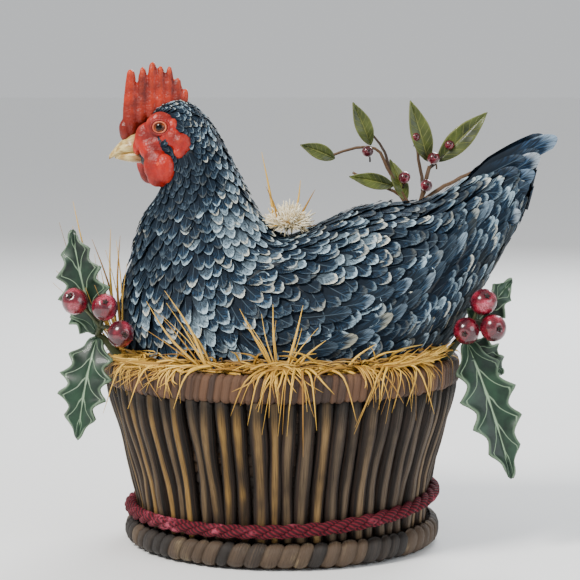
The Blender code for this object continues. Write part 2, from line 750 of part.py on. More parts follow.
def make_winding():
    """Ratchet wheel and arbor, with the key on the arbor's squared end outside the right flank."""
    teeth, high, low = 14, 7.0, 5.6
    edge = []
    for tooth in range(teeth):
        angle = 2 * math.pi * tooth / teeth
        edge.append((high * math.cos(angle), high * math.sin(angle)))
        edge.append((low * math.cos(angle + 0.06), low * math.sin(angle + 0.06)))
    bore = circle_points(ARBOR_RADIUS + GAP, 12)
    ratchet = register(side_plate("ratchet_wheel", [edge, bore], 7.5, 9.3, GREAT_AXLE), "tin")
    arbor = register(rod("winding_arbor", GREAT_AXLE, -PLATE_INNER_Y - 1.6, KEY_INNER_Y + 6.0, ARBOR_RADIUS, 14), "tin")
    grip = []
    for lobe in (1, -1):
        for angle in even(-70.0, 70.0, 8):
            direction = math.radians(angle) + (0.0 if lobe > 0 else math.pi)
            grip.append((lobe * 5.2 + 6.0 * math.cos(direction), 5.4 * math.sin(direction)))
    finger_holes = [circle_points(2.4, 10, (lobe * 6.6, lobe * 0.1)) for lobe in (1, -1)]
    blade = settle(outline_curve("winding_key", [grip] + finger_holes, 1.6))
    blade.location = Vector((GREAT_AXLE[0], KEY_INNER_Y + 11.0, GREAT_AXLE[1])) * MM
    collar = rod("key_collar", GREAT_AXLE, KEY_INNER_Y, KEY_INNER_Y + 8.0, ARBOR_RADIUS + 1.5, 14)
    bore_cut = hide_cutter(rod("key_bore_cut", GREAT_AXLE, KEY_INNER_Y - 1.0, KEY_INNER_Y + 6.0 + GAP,
                               ARBOR_RADIUS + GAP, 14))
    key = join_solids("winding_key", [blade, collar])
    boolean(key, bore_cut, "DIFFERENCE")
    register(key, "brass")
    return [ratchet, arbor, key]


def make_second_axle(phase_wheel, phase_pinion):
    arbor = rod("second_arbor", SECOND_AXLE, -PLATE_INNER_Y - 1.6, PLATE_INNER_Y + 1.6, AXLE_RADIUS)
    pinion = settle(side_plate("pinion", [gear_outline(PINION_TEETH, MODULE_COARSE, phase_pinion)],
                               4.5, 7.5, SECOND_AXLE))
    shaft = register(join_solids("second_arbor", [arbor, pinion]), "tin")
    windows = wheel_windows(4, 4.2, 9.4, math.radians(32))
    wheel = gear("second_wheel", SECOND_TEETH, MODULE_FINE, phase_wheel, SECOND_AXLE, -9.2, -7.7,
                 windows=windows)
    return [shaft, wheel]


def make_third_axle(phase_pinion, phase_drive):
    arbor = rod("third_arbor", THIRD_AXLE, -PLATE_INNER_Y - 1.6, PLATE_INNER_Y + 1.6, AXLE_RADIUS)
    pinion = settle(side_plate("pinion", [gear_outline(PINION_TEETH, MODULE_FINE, phase_pinion)],
                               -9.5, -7.4, THIRD_AXLE))
    shaft = register(join_solids("third_arbor", [arbor, pinion]), "tin")
    drive = gear("drive_gear", DRIVE_TEETH, MODULE_FINE, phase_drive, THIRD_AXLE, -2.0, 0.0)
    return [shaft, drive]


def make_crankshaft(name, axle, phase):
    """An axle with a gear and a disc crank on each end; the pins rest at bottom dead centre."""
    disc_inner = PLATE_INNER_Y + PLATE_THICKNESS + 0.8
    disc_outer = disc_inner + 1.5
    pieces = [register(rod(name + "_axle", axle, -disc_outer + GAP, disc_outer - GAP, AXLE_RADIUS), "tin")]
    pieces.append(gear(name + "_gear", DRIVE_TEETH, MODULE_FINE, phase, axle, -2.0, 0.0))
    for side, side_name in ((-1, "left"), (1, "right")):
        low, high = sorted((side * disc_inner, side * disc_outer))
        disc = rod("disc", axle, low, high, CRANK_DISC_RADIUS, 16)
        bore = rod("bore", axle, low - 1.0, high + 1.0, BORE_RADIUS, 12)
        pin_axis = (axle[0], axle[1] - CRANK_THROW)
        pin_low, pin_high = sorted((side * (disc_inner + 0.4), side * (LEG_INNER_Y + LEG_THICKNESS + 1.2)))
        pin = rod("pin", pin_axis, pin_low, pin_high, CRANK_PIN_RADIUS, 10)
        boolean(disc, hide_cutter(bore), "DIFFERENCE")
        crank = join_solids(name + "_disc_" + side_name, [disc, pin])
        bpy.data.objects.remove(bore, do_unlink=True)
        pieces.append(register(crank, "tin"))
    return pieces


def make_legs():
    pin_z = CRANK_AXLE_Z - CRANK_THROW
    shank_bottom = FOOT_BOTTOM + FOOT_THICKNESS + GAP
    bar = 3.4
    arc = [(CRANK_AXLE_X + bar * math.cos(a), pin_z + bar * math.sin(a))
           for a in even(-math.pi / 2, math.pi / 2, 6)]
    edge = arc + [(-x, z) for x, z in reversed(arc)]
    edge += [(-SHANK_HALF_WIDTH, pin_z - bar), (-SHANK_HALF_WIDTH, shank_bottom),
             (SHANK_HALF_WIDTH, shank_bottom), (SHANK_HALF_WIDTH, pin_z - bar)]
    holes = [circle_points(CRANK_PIN_RADIUS + 0.12, 12, (x, pin_z)) for x in (-CRANK_AXLE_X, CRANK_AXLE_X)]
    legs = {}
    for side, side_name in ((-1, "left"), (1, "right")):
        low, high = sorted((side * LEG_INNER_Y, side * (LEG_INNER_Y + LEG_THICKNESS)))
        leg = register(side_plate("leg_" + side_name, [edge] + holes, low, high), "tin")
        toes = [
            (13.0, 15.2), (3.6, 14.2), (0.0, 12.9), (-20.5, 8.4), (-21.6, 10.4), (-9.0, 14.6),
            (-24.0, 15.6), (-24.0, 17.6), (-9.0, 18.2), (-20.4, 22.8), (-19.2, 24.8), (0.0, 20.2),
            (3.6, 18.6), (13.0, 17.8),
        ]
        outline = [(x, side * y) for x, y in toes]
        foot = level_plate("foot_" + side_name, [outline], FOOT_BOTTOM, FOOT_BOTTOM + FOOT_THICKNESS)
        legs[side_name] = [leg, register(foot, "foot_yellow")]
    return legs


def make_escutcheon():
    """A brass ring round the key hole; it sits just outside the right wing."""
    inner_y = 35.9
    ring = side_plate("key_escutcheon", [circle_points(6.0, 20), circle_points(ARBOR_RADIUS + 0.8, 14)],
                      inner_y, inner_y + 0.8, GREAT_AXLE)
    register(ring, "brass")


def make_motor():
    great_phase = 0.0
    second_pinion_phase = meshing_phase(GREAT_AXLE, GREAT_TEETH, great_phase, SECOND_AXLE, PINION_TEETH)
    second_phase = 0.0
    third_pinion_phase = meshing_phase(SECOND_AXLE, SECOND_TEETH, second_phase, THIRD_AXLE, PINION_TEETH)
    drive_phase = 0.0
    front_phase = meshing_phase(THIRD_AXLE, DRIVE_TEETH, drive_phase, FRONT_CRANK, DRIVE_TEETH)
    rear_phase = meshing_phase(THIRD_AXLE, DRIVE_TEETH, drive_phase, REAR_CRANK, DRIVE_TEETH)
    make_frame()
    make_mainspring()
    great, click, click_place = make_great_wheel(great_phase)
    hang(great, pivot("great_wheel_axis", GREAT_AXLE))
    hang(click, pivot("click_axis", click_place))
    hang(make_winding(), pivot("winding_axis", GREAT_AXLE))
    hang(make_second_axle(second_phase, second_pinion_phase), pivot("second_axis", SECOND_AXLE))
    hang(make_third_axle(third_pinion_phase, drive_phase), pivot("third_axis", THIRD_AXLE))
    hang(make_crankshaft("front_crank", FRONT_CRANK, front_phase), pivot("front_crank_axis", FRONT_CRANK))
    hang(make_crankshaft("rear_crank", REAR_CRANK, rear_phase), pivot("rear_crank_axis", REAR_CRANK))
    legs = make_legs()
    for side_name, pieces in legs.items():
        hang(pieces, pivot("leg_axis_" + side_name, (FRONT_CRANK[0], CRANK_AXLE_Z - CRANK_THROW)))
    make_escutcheon()


clear_scene()
toy = new_collection("wind_up_hen")
cutters = new_collection("cutters")
make_basket()
make_rope()
make_nest()
make_holly(
    "left",
    {"foot": (-46.8, -15.5, 55.9), "hub": (-52.0, -17.0, 62.0), "berry_hub": (-51.0, -19.6, 64.2)},
    [((-59.0, -15.0, 91.0), (0.0, -1.0, 0.2), 7.5), ((-57.0, -24.0, 33.0), (-0.3, -1.0, 0.0), 7.5)],
    [(-57.7, -22.0, 71.6), (-49.3, -23.0, 70.0), (-44.8, -24.5, 62.7)],
)
make_holly(
    "right",
    {"foot": (46.8, -15.5, 55.9), "hub": (52.0, -17.0, 61.0), "berry_hub": (53.6, -20.8, 66.0)},
    [((64.5, -24.0, 22.0), (0.3, -1.0, 0.0), 8.5), ((65.0, -12.5, 77.0), (0.0, -1.0, 0.2), 5.0)],
    [(56.2, -23.0, 71.5), (51.4, -24.0, 63.5), (58.8, -24.5, 64.4)],
)
make_twig()
key_hole_cutter = make_shells()
make_tail()
make_wings(key_hole_cutter)
make_face(hide_cutter(hen_solid("face_clearance", 1.6)), hide_cutter(hen_solid("skin_clearance", 0.5)))
make_belly_plate()
make_motor()
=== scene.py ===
"""Looks of the wind-up hen in her nest basket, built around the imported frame.

Everything is in metres in the frame's own axes: the hen faces -X, her left side is -Y, +Z is up.
MM turns the millimetre values below into metres.
"""
import math
import random

import bmesh
import bpy
import numpy as np
from mathutils import Matrix, Vector


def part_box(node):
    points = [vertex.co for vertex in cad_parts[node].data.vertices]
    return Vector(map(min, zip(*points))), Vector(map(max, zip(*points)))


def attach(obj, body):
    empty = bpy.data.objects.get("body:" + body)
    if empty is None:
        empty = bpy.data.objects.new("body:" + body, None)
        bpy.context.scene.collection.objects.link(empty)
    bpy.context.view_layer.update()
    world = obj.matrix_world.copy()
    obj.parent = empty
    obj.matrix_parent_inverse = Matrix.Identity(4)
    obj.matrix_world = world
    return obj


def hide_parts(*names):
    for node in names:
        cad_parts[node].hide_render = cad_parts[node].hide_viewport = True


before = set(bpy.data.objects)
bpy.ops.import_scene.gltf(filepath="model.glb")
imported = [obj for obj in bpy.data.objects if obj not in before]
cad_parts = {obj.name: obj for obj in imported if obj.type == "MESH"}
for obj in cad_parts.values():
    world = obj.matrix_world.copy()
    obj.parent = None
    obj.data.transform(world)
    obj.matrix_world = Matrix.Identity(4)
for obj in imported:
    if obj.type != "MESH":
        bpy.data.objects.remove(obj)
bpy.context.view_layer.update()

MM = 0.001
TAU = 2 * math.pi
rng = np.random.default_rng(7)
random.seed(7)


def corner(node, which):
    """One corner of a node's box, in millimetres."""
    return np.array(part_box(node)[which]) / MM


RIM_LOW, RIM_HIGH = corner("basket_rim", 0)[2], corner("basket_rim", 1)[2]
RIM_RADIUS = corner("basket_rim", 1)[0]
FOOT_RADIUS = corner("basket_foot", 1)[0]
FOOT_HIGH = corner("basket_foot", 1)[2]
WALL_LOW, WALL_HIGH = corner("basket_wall", 0)[2], corner("basket_wall", 1)[2]

# The wall's outer radius by height, the same flare as the turned CAD wall
WALL_HEIGHTS = [WALL_LOW, 12.0, 22.0, 31.5, 40.0, WALL_HIGH]
WALL_RADII = [42.0, 42.1, 43.9, 46.4, 48.8, 50.0]
WALL_THICKNESS = 3.0

# The hen's skin: dorsal point, ventral point and half width of each section, face to tail
STATIONS = np.array([
    (-41.2, 118.0, -40.6, 109.6, 3.8), (-36.0, 124.3, -36.5, 104.5, 8.0), (-29.0, 126.7, -34.5, 102.6, 10.5),
    (-22.0, 122.0, -36.0, 100.0, 11.5), (-16.4, 112.6, -38.0, 97.0, 13.0), (-11.0, 102.0, -40.5, 92.0, 16.0),
    (-6.0, 93.0, -43.0, 82.0, 20.5), (0.0, 88.3, -46.0, 68.0, 26.0), (6.0, 89.5, -43.0, 49.0, 30.5),
    (14.0, 93.0, -30.0, 29.0, 33.0), (22.0, 96.0, -8.0, 22.0, 34.0), (31.0, 97.6, 14.0, 23.0, 33.0),
    (40.0, 97.8, 32.0, 37.0, 30.0), (48.0, 101.0, 43.0, 51.0, 25.0), (56.0, 105.3, 52.0, 65.0, 18.0),
    (64.0, 108.2, 61.0, 80.0, 10.0), (73.0, 113.0, 70.0, 96.0, 3.5),
])


# ---------------------------------------------------------------- camera, light and floor

CAMERA_PLACE = (2.3, -600.0, 130.0)
CAMERA_PITCH = math.radians(5.46)
LENS_MM = 129.3


def make_camera():
    data = bpy.data.cameras.new("camera")
    data.lens = LENS_MM
    data.sensor_width = 36.0
    data.clip_start = 0.01
    camera = bpy.data.objects.new("camera", data)
    camera.location = Vector(CAMERA_PLACE) * MM
    camera.rotation_euler = (math.pi / 2 - CAMERA_PITCH, 0.0, 0.0)
    bpy.context.scene.collection.objects.link(camera)
    bpy.context.scene.camera = camera


def area_light(name, place, size, power, colour):
    data = bpy.data.lights.new(name, "AREA")
    data.shape = "DISK"
    data.size = size
    data.energy = power
    data.color = colour
    light = bpy.data.objects.new(name, data)
    light.location = place
    aim = Vector((0.0, 0.0, 0.07)) - Vector(place)
    light.rotation_euler = aim.to_track_quat("-Z", "Y").to_euler()
    bpy.context.scene.collection.objects.link(light)


def make_studio():
    area_light("key_light", (-0.5, -0.5, 0.75), 0.3, 13.0, (1.0, 0.97, 0.92))
    area_light("fill_light", (0.7, -0.55, 0.35), 0.6, 3.5, (0.9, 0.95, 1.0))
    area_light("back_light", (0.25, 0.7, 0.6), 0.5, 7.0, (0.95, 0.98, 1.0))
    world = bpy.data.worlds.new("studio")
    world.use_nodes = True
    background = world.node_tree.nodes["Background"]
    background.inputs["Color"].default_value = (0.86, 0.88, 0.9, 1.0)
    background.inputs["Strength"].default_value = 0.75
    bpy.context.scene.world = world
    bpy.ops.mesh.primitive_plane_add(size=80.0)
    floor = bpy.context.object
    floor.name = "floor"
    material = bpy.data.materials.new("floor")
    material.use_nodes = True
    shader = material.node_tree.nodes["Principled BSDF"]
    shader.inputs["Base Color"].default_value = (0.93, 0.93, 0.925, 1.0)
    shader.inputs["Roughness"].default_value = 0.7
    floor.data.materials.append(material)


# ---------------------------------------------------------------- material helpers

class Shading:
    """A material's node tree, built by short calls that take sockets or plain values."""

    def __init__(self, name):
        self.material = bpy.data.materials.new(name)
        self.material.use_nodes = True
        self.tree = self.material.node_tree
        self.shader = self.tree.nodes["Principled BSDF"]

    def node(self, kind, values=(), **settings):
        made = self.tree.nodes.new("ShaderNode" + kind)
        for key, value in settings.items():
            setattr(made, key, value)
        for key, value in dict(values).items():
            self.feed(made.inputs[key], value)
        return made

    def feed(self, socket, value):
        if isinstance(value, bpy.types.NodeSocket):
            self.tree.links.new(value, socket)
        else:
            socket.default_value = value

    def set(self, **values):
        for key, value in values.items():
            self.feed(self.shader.inputs[key.replace("_", " ")], value)

    def place(self):
        return self.node("TexCoord").outputs["Object"]

    def position(self, scale=(1.0, 1.0, 1.0)):
        return self.node("Mapping", {"Vector": self.place(), "Scale": scale}).outputs["Vector"]

    def uv(self, scale=(1.0, 1.0, 1.0)):
        laid = self.node("UVMap", uv_map="strand").outputs["UV"]
        return self.node("Mapping", {"Vector": laid, "Scale": scale}).outputs["Vector"]

    def attribute(self, name):
        return self.node("Attribute", attribute_name=name).outputs["Fac"]

    def noise(self, vector, scale, detail=4.0, roughness=0.55):
        values = {"Vector": vector, "Scale": scale, "Detail": detail, "Roughness": roughness}
        return self.node("TexNoise", values).outputs["Fac"]

    def math(self, operation, first, second=0.0, third=0.0):
        made = self.node("Math", operation=operation)
        for socket, value in zip(made.inputs, (first, second, third)):
            self.feed(socket, value)
        return made.outputs["Value"]

    def times(self, first, *others):
        for value in others:
            first = self.math("MULTIPLY", first, value)
        return first

    def plus(self, first, second):
        return self.math("ADD", first, second)

    def minus(self, first, second):
        return self.math("SUBTRACT", first, second)

    def split(self, vector):
        made = self.node("SeparateXYZ", {"Vector": vector})
        return [made.outputs[axis] for axis in "XYZ"]

    def join(self, x, y, z):
        return self.node("CombineXYZ", {"X": x, "Y": y, "Z": z}).outputs["Vector"]

    def from_midrib(self, across):
        """0 along the middle of a vane or leaf, 1 at both its edges."""
        return self.times(self.math("ABSOLUTE", self.minus(across, 0.5)), 2.0)

    def range(self, value, low, high, to_low=0.0, to_high=1.0):
        values = {"Value": value, "From Min": low, "From Max": high, "To Min": to_low, "To Max": to_high}
        return self.node("MapRange", values, interpolation_type="SMOOTHSTEP").outputs["Result"]

    def mix(self, factor, first, second, blend="MIX"):
        made = self.node("Mix", data_type="RGBA", blend_type=blend)
        self.feed(made.inputs["Factor"], factor)
        for name, value in (("A", first), ("B", second)):
            socket = [s for s in made.inputs if s.name == name and s.type == "RGBA"][0]
            self.feed(socket, rgb(value))
        return [s for s in made.outputs if s.type == "RGBA"][0]

    def bump(self, height, strength, distance_mm):
        values = {"Height": height, "Strength": strength, "Distance": distance_mm * MM}
        self.feed(self.shader.inputs["Normal"], self.node("Bump", values).outputs["Normal"])


def rgb(value):
    """A hex colour as linear RGBA; sockets pass through."""
    if not isinstance(value, str):
        return value
    parts = [int(value[i:i + 2], 16) / 255 for i in (1, 3, 5)]
    linear = [p / 12.92 if p <= 0.04045 else ((p + 0.055) / 1.055) ** 2.4 for p in parts]
    return (*linear, 1.0)


def feather_material(name="feathers", dark="#0e1822", middle="#2f506d", pale="#abc3d0", glow="#dcdccb"):
    """Near-black vane with slanting blue barbs and a pale, broken tip; light makes the whole vane paler."""
    m = Shading(name)
    across, along, _ = m.split(m.uv())
    tone, light = m.attribute("tone"), m.attribute("light")
    edge = m.from_midrib(across)
    shift = m.times(tone, 60.0)
    slant = m.minus(m.times(along, 16.0), m.times(edge, 7.0))
    barbs = m.noise(m.join(slant, m.times(across, 2.5), shift), 1.6, 3.0, 0.6)
    ragged = m.noise(m.join(m.times(across, 3.0), along, shift), 1.7, 3.0)
    wave = m.plus(along, m.times(m.minus(ragged, 0.5), 0.26))
    blue = m.times(m.range(barbs, 0.42, 0.72), m.range(wave, 0.35, 0.9))
    colour = m.mix(m.times(blue, m.range(light, 0.1, 0.8, 0.25, 1.0)), dark, middle)
    wash = m.times(m.range(light, 0.72, 1.0, 0.0, 0.42), m.range(barbs, 0.34, 0.62, 0.15, 1.0))
    colour = m.mix(m.times(wash, m.range(wave, 0.2, 0.8)), colour, pale)
    tip = m.times(m.range(wave, 0.8, 0.98), m.range(barbs, 0.3, 0.55, 0.15, 1.0))
    tip = m.times(tip, m.range(light, 0.3, 0.85, 0.08, 1.0))
    colour = m.mix(tip, colour, m.mix(m.range(tone, 0.55, 0.9), pale, glow))
    colour = m.mix(m.range(edge, 0.0, 0.07, 0.3, 0.0), colour, "#6f8492")
    m.set(Base_Color=colour, Roughness=0.68, Specular_IOR_Level=0.12)
    m.bump(barbs, 0.6, 0.15)
    return m.material


def streaked_material(name, dark, light, glow, roughness=0.62, along=3.0, bump=0.5, distance=0.25):
    """Split willow, cane or straw: streaks that run along each strand and a tone per strand."""
    m = Shading(name)
    streak = m.noise(m.uv((16.0, along, 1.0)), 1.0, 5.0, 0.65)
    patch = m.noise(m.position(), 95.0, 3.0)
    tone = m.attribute("tone")
    level = m.plus(m.times(streak, 0.75), m.times(tone, 0.5))
    colour = m.mix(m.range(level, 0.35, 0.85), dark, light)
    shine = m.times(m.range(patch, 0.5, 0.68), m.range(streak, 0.45, 0.7))
    colour = m.mix(m.times(shine, m.range(tone, 0.3, 0.9)), colour, glow)
    m.set(Base_Color=colour, Roughness=m.range(streak, 0.3, 0.7, roughness + 0.12, roughness - 0.12))
    m.bump(streak, bump, distance)
    return m.material


def reed_material():
    """Dark willow, a painted highlight down the outward crown of each reed that is ochre at the head end and
    greyer towards the tail, where the painted light is weaker, and painted shade under the rim.
    """
    m = Shading("reed_wicker")
    streak = m.noise(m.uv((22.0, 1.1, 1.0)), 1.0, 5.0, 0.65)
    fine = m.noise(m.uv((60.0, 5.0, 1.0)), 1.0, 4.0, 0.6)
    patch = m.noise(m.position(), 42.0, 3.0)
    tone, ridge = m.attribute("tone"), m.attribute("ridge")
    colour = m.mix(m.range(streak, 0.35, 0.7), "#0d0906", "#33241a")
    # Painted highlight: a paler colour down the outward-facing crown of each reed, in long broken patches.
    crown = m.times(m.range(ridge, 0.76, 0.99), m.range(patch, 0.28, 0.58))
    crown = m.times(crown, m.range(fine, 0.3, 0.6, 0.35, 1.0))
    crown = m.times(crown, m.range(tone, 0.0, 0.65, 0.55, 0.95))
    x, _, height = m.split(m.place())
    # The painted highlight is golden towards the head (-X) and greyer towards the tail (+X), as if lit from
    # the head end.
    golden_highlight = m.mix(m.range(tone, 0.2, 0.8), "#735e42", "#9c773a")
    highlight_falloff = m.range(x, -0.02, 0.035, 0.0, 0.6)
    colour = m.mix(crown, colour, m.mix(highlight_falloff, golden_highlight, "#77695a"))
    # Painted shade under the rim: the wall darkens towards the rim's underside, with a ragged edge from the
    # patch noise.
    shade_height = m.plus(height, m.times(m.minus(patch, 0.5), 0.012))
    shaded = m.range(shade_height, (RIM_LOW - 8) * MM, (RIM_LOW - 1) * MM, 0.0, 0.75)
    colour = m.mix(shaded, colour, "#0a0705")
    m.set(Base_Color=colour, Roughness=m.range(fine, 0.3, 0.7, 0.72, 0.5), Specular_IOR_Level=0.3)
    m.bump(m.plus(streak, fine), 0.9, 0.4)
    return m.material


def flesh_material(name, deep, red, light, root=None):
    """Pebbled red skin, deep and red in clouds, with a painted highlight on the convex crowns and painted
    shade at a comb's root.
    """
    m = Shading(name)
    pebble = m.node("TexVoronoi", {"Vector": m.position(), "Scale": 1500.0}).outputs["Distance"]
    cloud = m.noise(m.position(), 170.0, 5.0)
    point = m.node("NewGeometry").outputs["Pointiness"]
    colour = m.mix(m.range(cloud, 0.32, 0.66), deep, red)
    # Painted highlight: the light colour laid on convex crowns, found by pointiness.
    colour = m.mix(m.range(point, 0.5, 0.56, 0.0, 0.8), colour, light)
    # Painted shade: the colour darkens towards a comb's root, by height; root is this painted shade colour.
    if root:
        _, _, height = m.split(m.place())
        colour = m.mix(m.range(height, 0.119, 0.129, 0.75, 0.0), colour, root)
    m.set(Base_Color=colour, Roughness=m.range(cloud, 0.3, 0.7, 0.5, 0.36))
    m.set(Specular_IOR_Level=0.35)
    m.bump(m.plus(m.times(pebble, 0.6), m.times(cloud, 0.7)), 0.55, 0.3)
    return m.material


def leaf_material(name, dark, green, vein, ribs=5.0, slant=1.3):
    """A waxy leaf with a pale midrib and side veins laid out along its own length."""
    m = Shading(name)
    across, along, _ = m.split(m.uv())
    edge = m.from_midrib(across)
    cloud = m.noise(m.position(), 130.0, 4.0)
    wander = m.times(m.minus(cloud, 0.5), 0.06)
    slanted = m.minus(m.plus(along, wander), m.times(edge, slant / ribs))
    saw = m.math("PINGPONG", m.times(slanted, ribs), 0.5)
    side = m.range(saw, 0.0, 0.07, 0.8, 0.0)
    side = m.times(side, m.range(edge, 0.75, 1.0, 1.0, 0.25))
    middle = m.range(edge, 0.02, 0.09, 1.0, 0.0)
    lines = m.math("MAXIMUM", side, middle)
    colour = m.mix(m.range(cloud, 0.3, 0.7), dark, green)
    colour = m.mix(m.range(edge, 0.8, 1.0, 0.0, 0.35), colour, vein)
    colour = m.mix(m.times(lines, 0.75), colour, vein)
    m.set(Base_Color=colour, Roughness=0.44, Coat_Weight=0.08, Specular_IOR_Level=0.35)
    m.bump(m.minus(cloud, lines), 0.5, 0.3)
    return m.material


def berry_material(name, deep, red, pink_highlight):
    m = Shading(name)
    cloud = m.noise(m.position(), 240.0, 4.0)
    speck = m.noise(m.position(), 2400.0, 2.0)
    colour = m.mix(m.range(cloud, 0.35, 0.7), deep, red)
    # Painted highlight: pink flecks where the cloud is high.
    colour = m.mix(m.times(m.range(cloud, 0.5, 0.75), m.range(speck, 0.35, 0.6)), colour, pink_highlight)
    m.set(Base_Color=colour, Roughness=m.range(speck, 0.3, 0.7, 0.16, 0.3))
    m.set(Coat_Weight=0.6, Coat_Roughness=0.08)
    m.bump(speck, 0.08, 0.1)
    return m.material


def metal_material(name, base, worn, roughness, grain=(40.0, 40.0, 900.0)):
    """Rolled sheet with fine drawn grain, dull patches and brighter rubbed edges."""
    m = Shading(name)
    lines = m.noise(m.position(grain), 6.0, 4.0)
    patch = m.noise(m.position(), 120.0, 5.0)
    point = m.node("NewGeometry").outputs["Pointiness"]
    colour = m.mix(m.range(patch, 0.4, 0.7), base, worn)
    colour = m.mix(m.range(point, 0.52, 0.6, 0.0, 0.25), colour, "#f0dcae")
    dull = m.range(patch, 0.3, 0.7, roughness, roughness + 0.12)
    m.set(Base_Color=colour, Metallic=1.0, Roughness=m.plus(m.range(lines, 0.3, 0.7, -0.06, 0.08), dull))
    m.bump(lines, 0.12, 0.05)
    return m.material


def painted_material(name, base, worn, roughness=0.42):
    m = Shading(name)
    cloud = m.noise(m.position(), 140.0, 5.0)
    grain = m.noise(m.position(), 1300.0, 3.0)
    colour = m.mix(m.range(cloud, 0.35, 0.7), base, worn)
    m.set(Base_Color=colour, Roughness=m.range(grain, 0.3, 0.7, roughness, roughness + 0.15))
    m.bump(grain, 0.15, 0.08)
    return m.material


# ---------------------------------------------------------------- mesh helpers

def unit(vector):
    return vector / np.linalg.norm(vector)


def round_axis(radius, angle, height):
    """A point by its distance and bearing from the basket's axis."""
    return np.array((radius * math.cos(angle), radius * math.sin(angle), height))


def grid_faces(rows, columns, start=0, around=False, looped=False, flip=False):
    """Quads over points laid row by row; around joins the last column to the first, looped the rows."""
    faces = []
    for row in range(rows if looped else rows - 1):
        low, high = start + row * columns, start + (row + 1) % rows * columns
        for column in range(columns if around else columns - 1):
            after = (column + 1) % columns
            face = (low + column, low + after, high + after, high + column)
            faces.append((face[0], face[3], face[2], face[1]) if flip else face)
    return faces


def mesh_piece(name, points, faces, material, body, uv=None, slot=None, replaces=(), **attributes):
    """A smooth mesh piece from millimetre points; uv and the attributes hold one value per point."""
    mesh = bpy.data.meshes.new(name)
    points = np.asarray(points, dtype=float) * MM
    mesh.from_pydata(points.tolist(), [], faces)
    if uv is not None:
        layer = mesh.uv_layers.new(name="strand")
        index = np.empty(len(mesh.loops), dtype=np.int32)
        mesh.loops.foreach_get("vertex_index", index)
        layer.data.foreach_set("uv", np.asarray(uv, dtype=np.float32)[index].ravel())
    for key, values in attributes.items():
        stored = mesh.attributes.new(key, "FLOAT", "POINT")
        stored.data.foreach_set("value", np.asarray(values, dtype=np.float32))
    mesh.shade_smooth()
    mesh.materials.append(material)
    piece = bpy.data.objects.new(name, mesh)
    bpy.context.scene.collection.objects.link(piece)
    return finish_piece(piece, body, replaces)


def finish_piece(piece, body, replaces=()):
    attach(piece, body)
    if replaces:
        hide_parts(*replaces)
    return piece


def apply_modifiers(piece):
    depsgraph = bpy.context.evaluated_depsgraph_get()
    mesh = bpy.data.meshes.new_from_object(piece.evaluated_get(depsgraph))
    piece.modifiers.clear()
    piece.data = mesh
    piece.data.shade_smooth()


class Strands:
    """Collects many tubes and ribbons, with a tone for each, into one piece."""

    def __init__(self):
        self.points, self.faces, self.uv, self.tone, self.ridge = [], [], [], [], []

    def tube(self, path, radii, sides=6, flat=1.0, thin=1.0, tone=None, closed=False, roll=0.0,
             lengthways=1.0):
        """A tube through the points; flat squeezes its section up and down, thin from side to side."""
        path = np.asarray(path, dtype=float)
        count = len(path)
        radii = np.broadcast_to(np.asarray(radii, dtype=float), (count,))
        if closed:
            forward = np.roll(path, -1, 0) - np.roll(path, 1, 0)
        else:
            forward = np.gradient(path, axis=0)
        forward /= np.linalg.norm(forward, axis=1)[:, None]
        up = np.array((0.0, 0.0, 1.0)) if abs(forward[0][2]) < 0.8 else np.array((1.0, 0.0, 0.0))
        start = len(self.points)
        tone = random.random() if tone is None else tone
        for index in range(count):
            side = unit(np.cross(forward[index], up))
            up = np.cross(side, forward[index])
            for step in range(sides):
                angle = TAU * step / sides + roll
                ring = side * math.cos(angle) * thin + up * math.sin(angle) * flat
                self.points.append(path[index] + ring * radii[index])
                self.uv.append((step / sides, lengthways * index / max(count - 1, 1)))
                self.tone.append(tone)
                away = math.hypot(path[index][0], path[index][1])
                self.ridge.append((ring[0] * path[index][0] + ring[1] * path[index][1]) / max(away, 1e-6))
        self.faces += grid_faces(count, sides, start, around=True, looped=closed)
        if not closed:
            self.faces.append(tuple(start + step for step in reversed(range(sides))))
            self.faces.append(tuple(start + (count - 1) * sides + step for step in range(sides)))

    def blade(self, path, width, facing, fold=0.25):
        """A narrow creased leaf of straw through the points, wide across facing and pointed at its end."""
        path = np.asarray(path, dtype=float)
        count = len(path)
        forward = np.gradient(path, axis=0)
        start = len(self.points)
        tone = random.random()
        for index in range(count):
            part = index / (count - 1)
            half = width / 2 * (1 - part ** 3) * (0.75 + 0.25 * math.sin(math.pi * min(part * 1.6, 1)))
            half = max(half, 0.05)
            along = unit(forward[index])
            side = np.cross(along, facing)
            side /= max(np.linalg.norm(side), 1e-6)
            lift = np.cross(side, along)
            ring = [
                path[index] - side * half, path[index] + lift * half * fold,
                path[index] + side * half, path[index] - lift * half * fold,
            ]
            self.points += ring
            self.uv += [(0.0, part), (0.25, part), (0.5, part), (0.75, part)]
            self.tone += [tone] * 4
            self.ridge += [1.0, 0.6, 1.0, 0.0]
        self.faces += grid_faces(count, 4, start, around=True)
        self.faces.append((start + 3, start + 2, start + 1, start))
        top = start + (count - 1) * 4
        self.faces.append((top, top + 1, top + 2, top + 3))

    def piece(self, name, material, body, **options):
        return mesh_piece(name, self.points, self.faces, material, body, uv=self.uv, tone=self.tone,
                          ridge=self.ridge, **options)


def catmull_rom(points, places):
    """Rows of a smooth curve through a list of rows, at fractional places along the list."""
    last = len(points) - 1
    index = np.minimum(places.astype(int), last - 1)
    part = (places - index)[:, None]
    before = points[np.maximum(index - 1, 0)]
    start, end = points[index], points[index + 1]
    after = points[np.minimum(index + 2, last)]
    slope_start, slope_end = (end - before) / 2, (after - start) / 2
    square, cube = part ** 2, part ** 3
    rise = start * (2 * cube - 3 * square + 1) + slope_start * (cube - 2 * square + part)
    return rise + end * (3 * square - 2 * cube) + slope_end * (cube - square)


def smooth_path(points, count):
    points = np.asarray(points, dtype=float)
    return catmull_rom(points, np.linspace(0, len(points) - 1, count))


def wall_radius(height):
    return float(np.interp(height, WALL_HEIGHTS, WALL_RADII))


# ---------------------------------------------------------------- the hen's skin

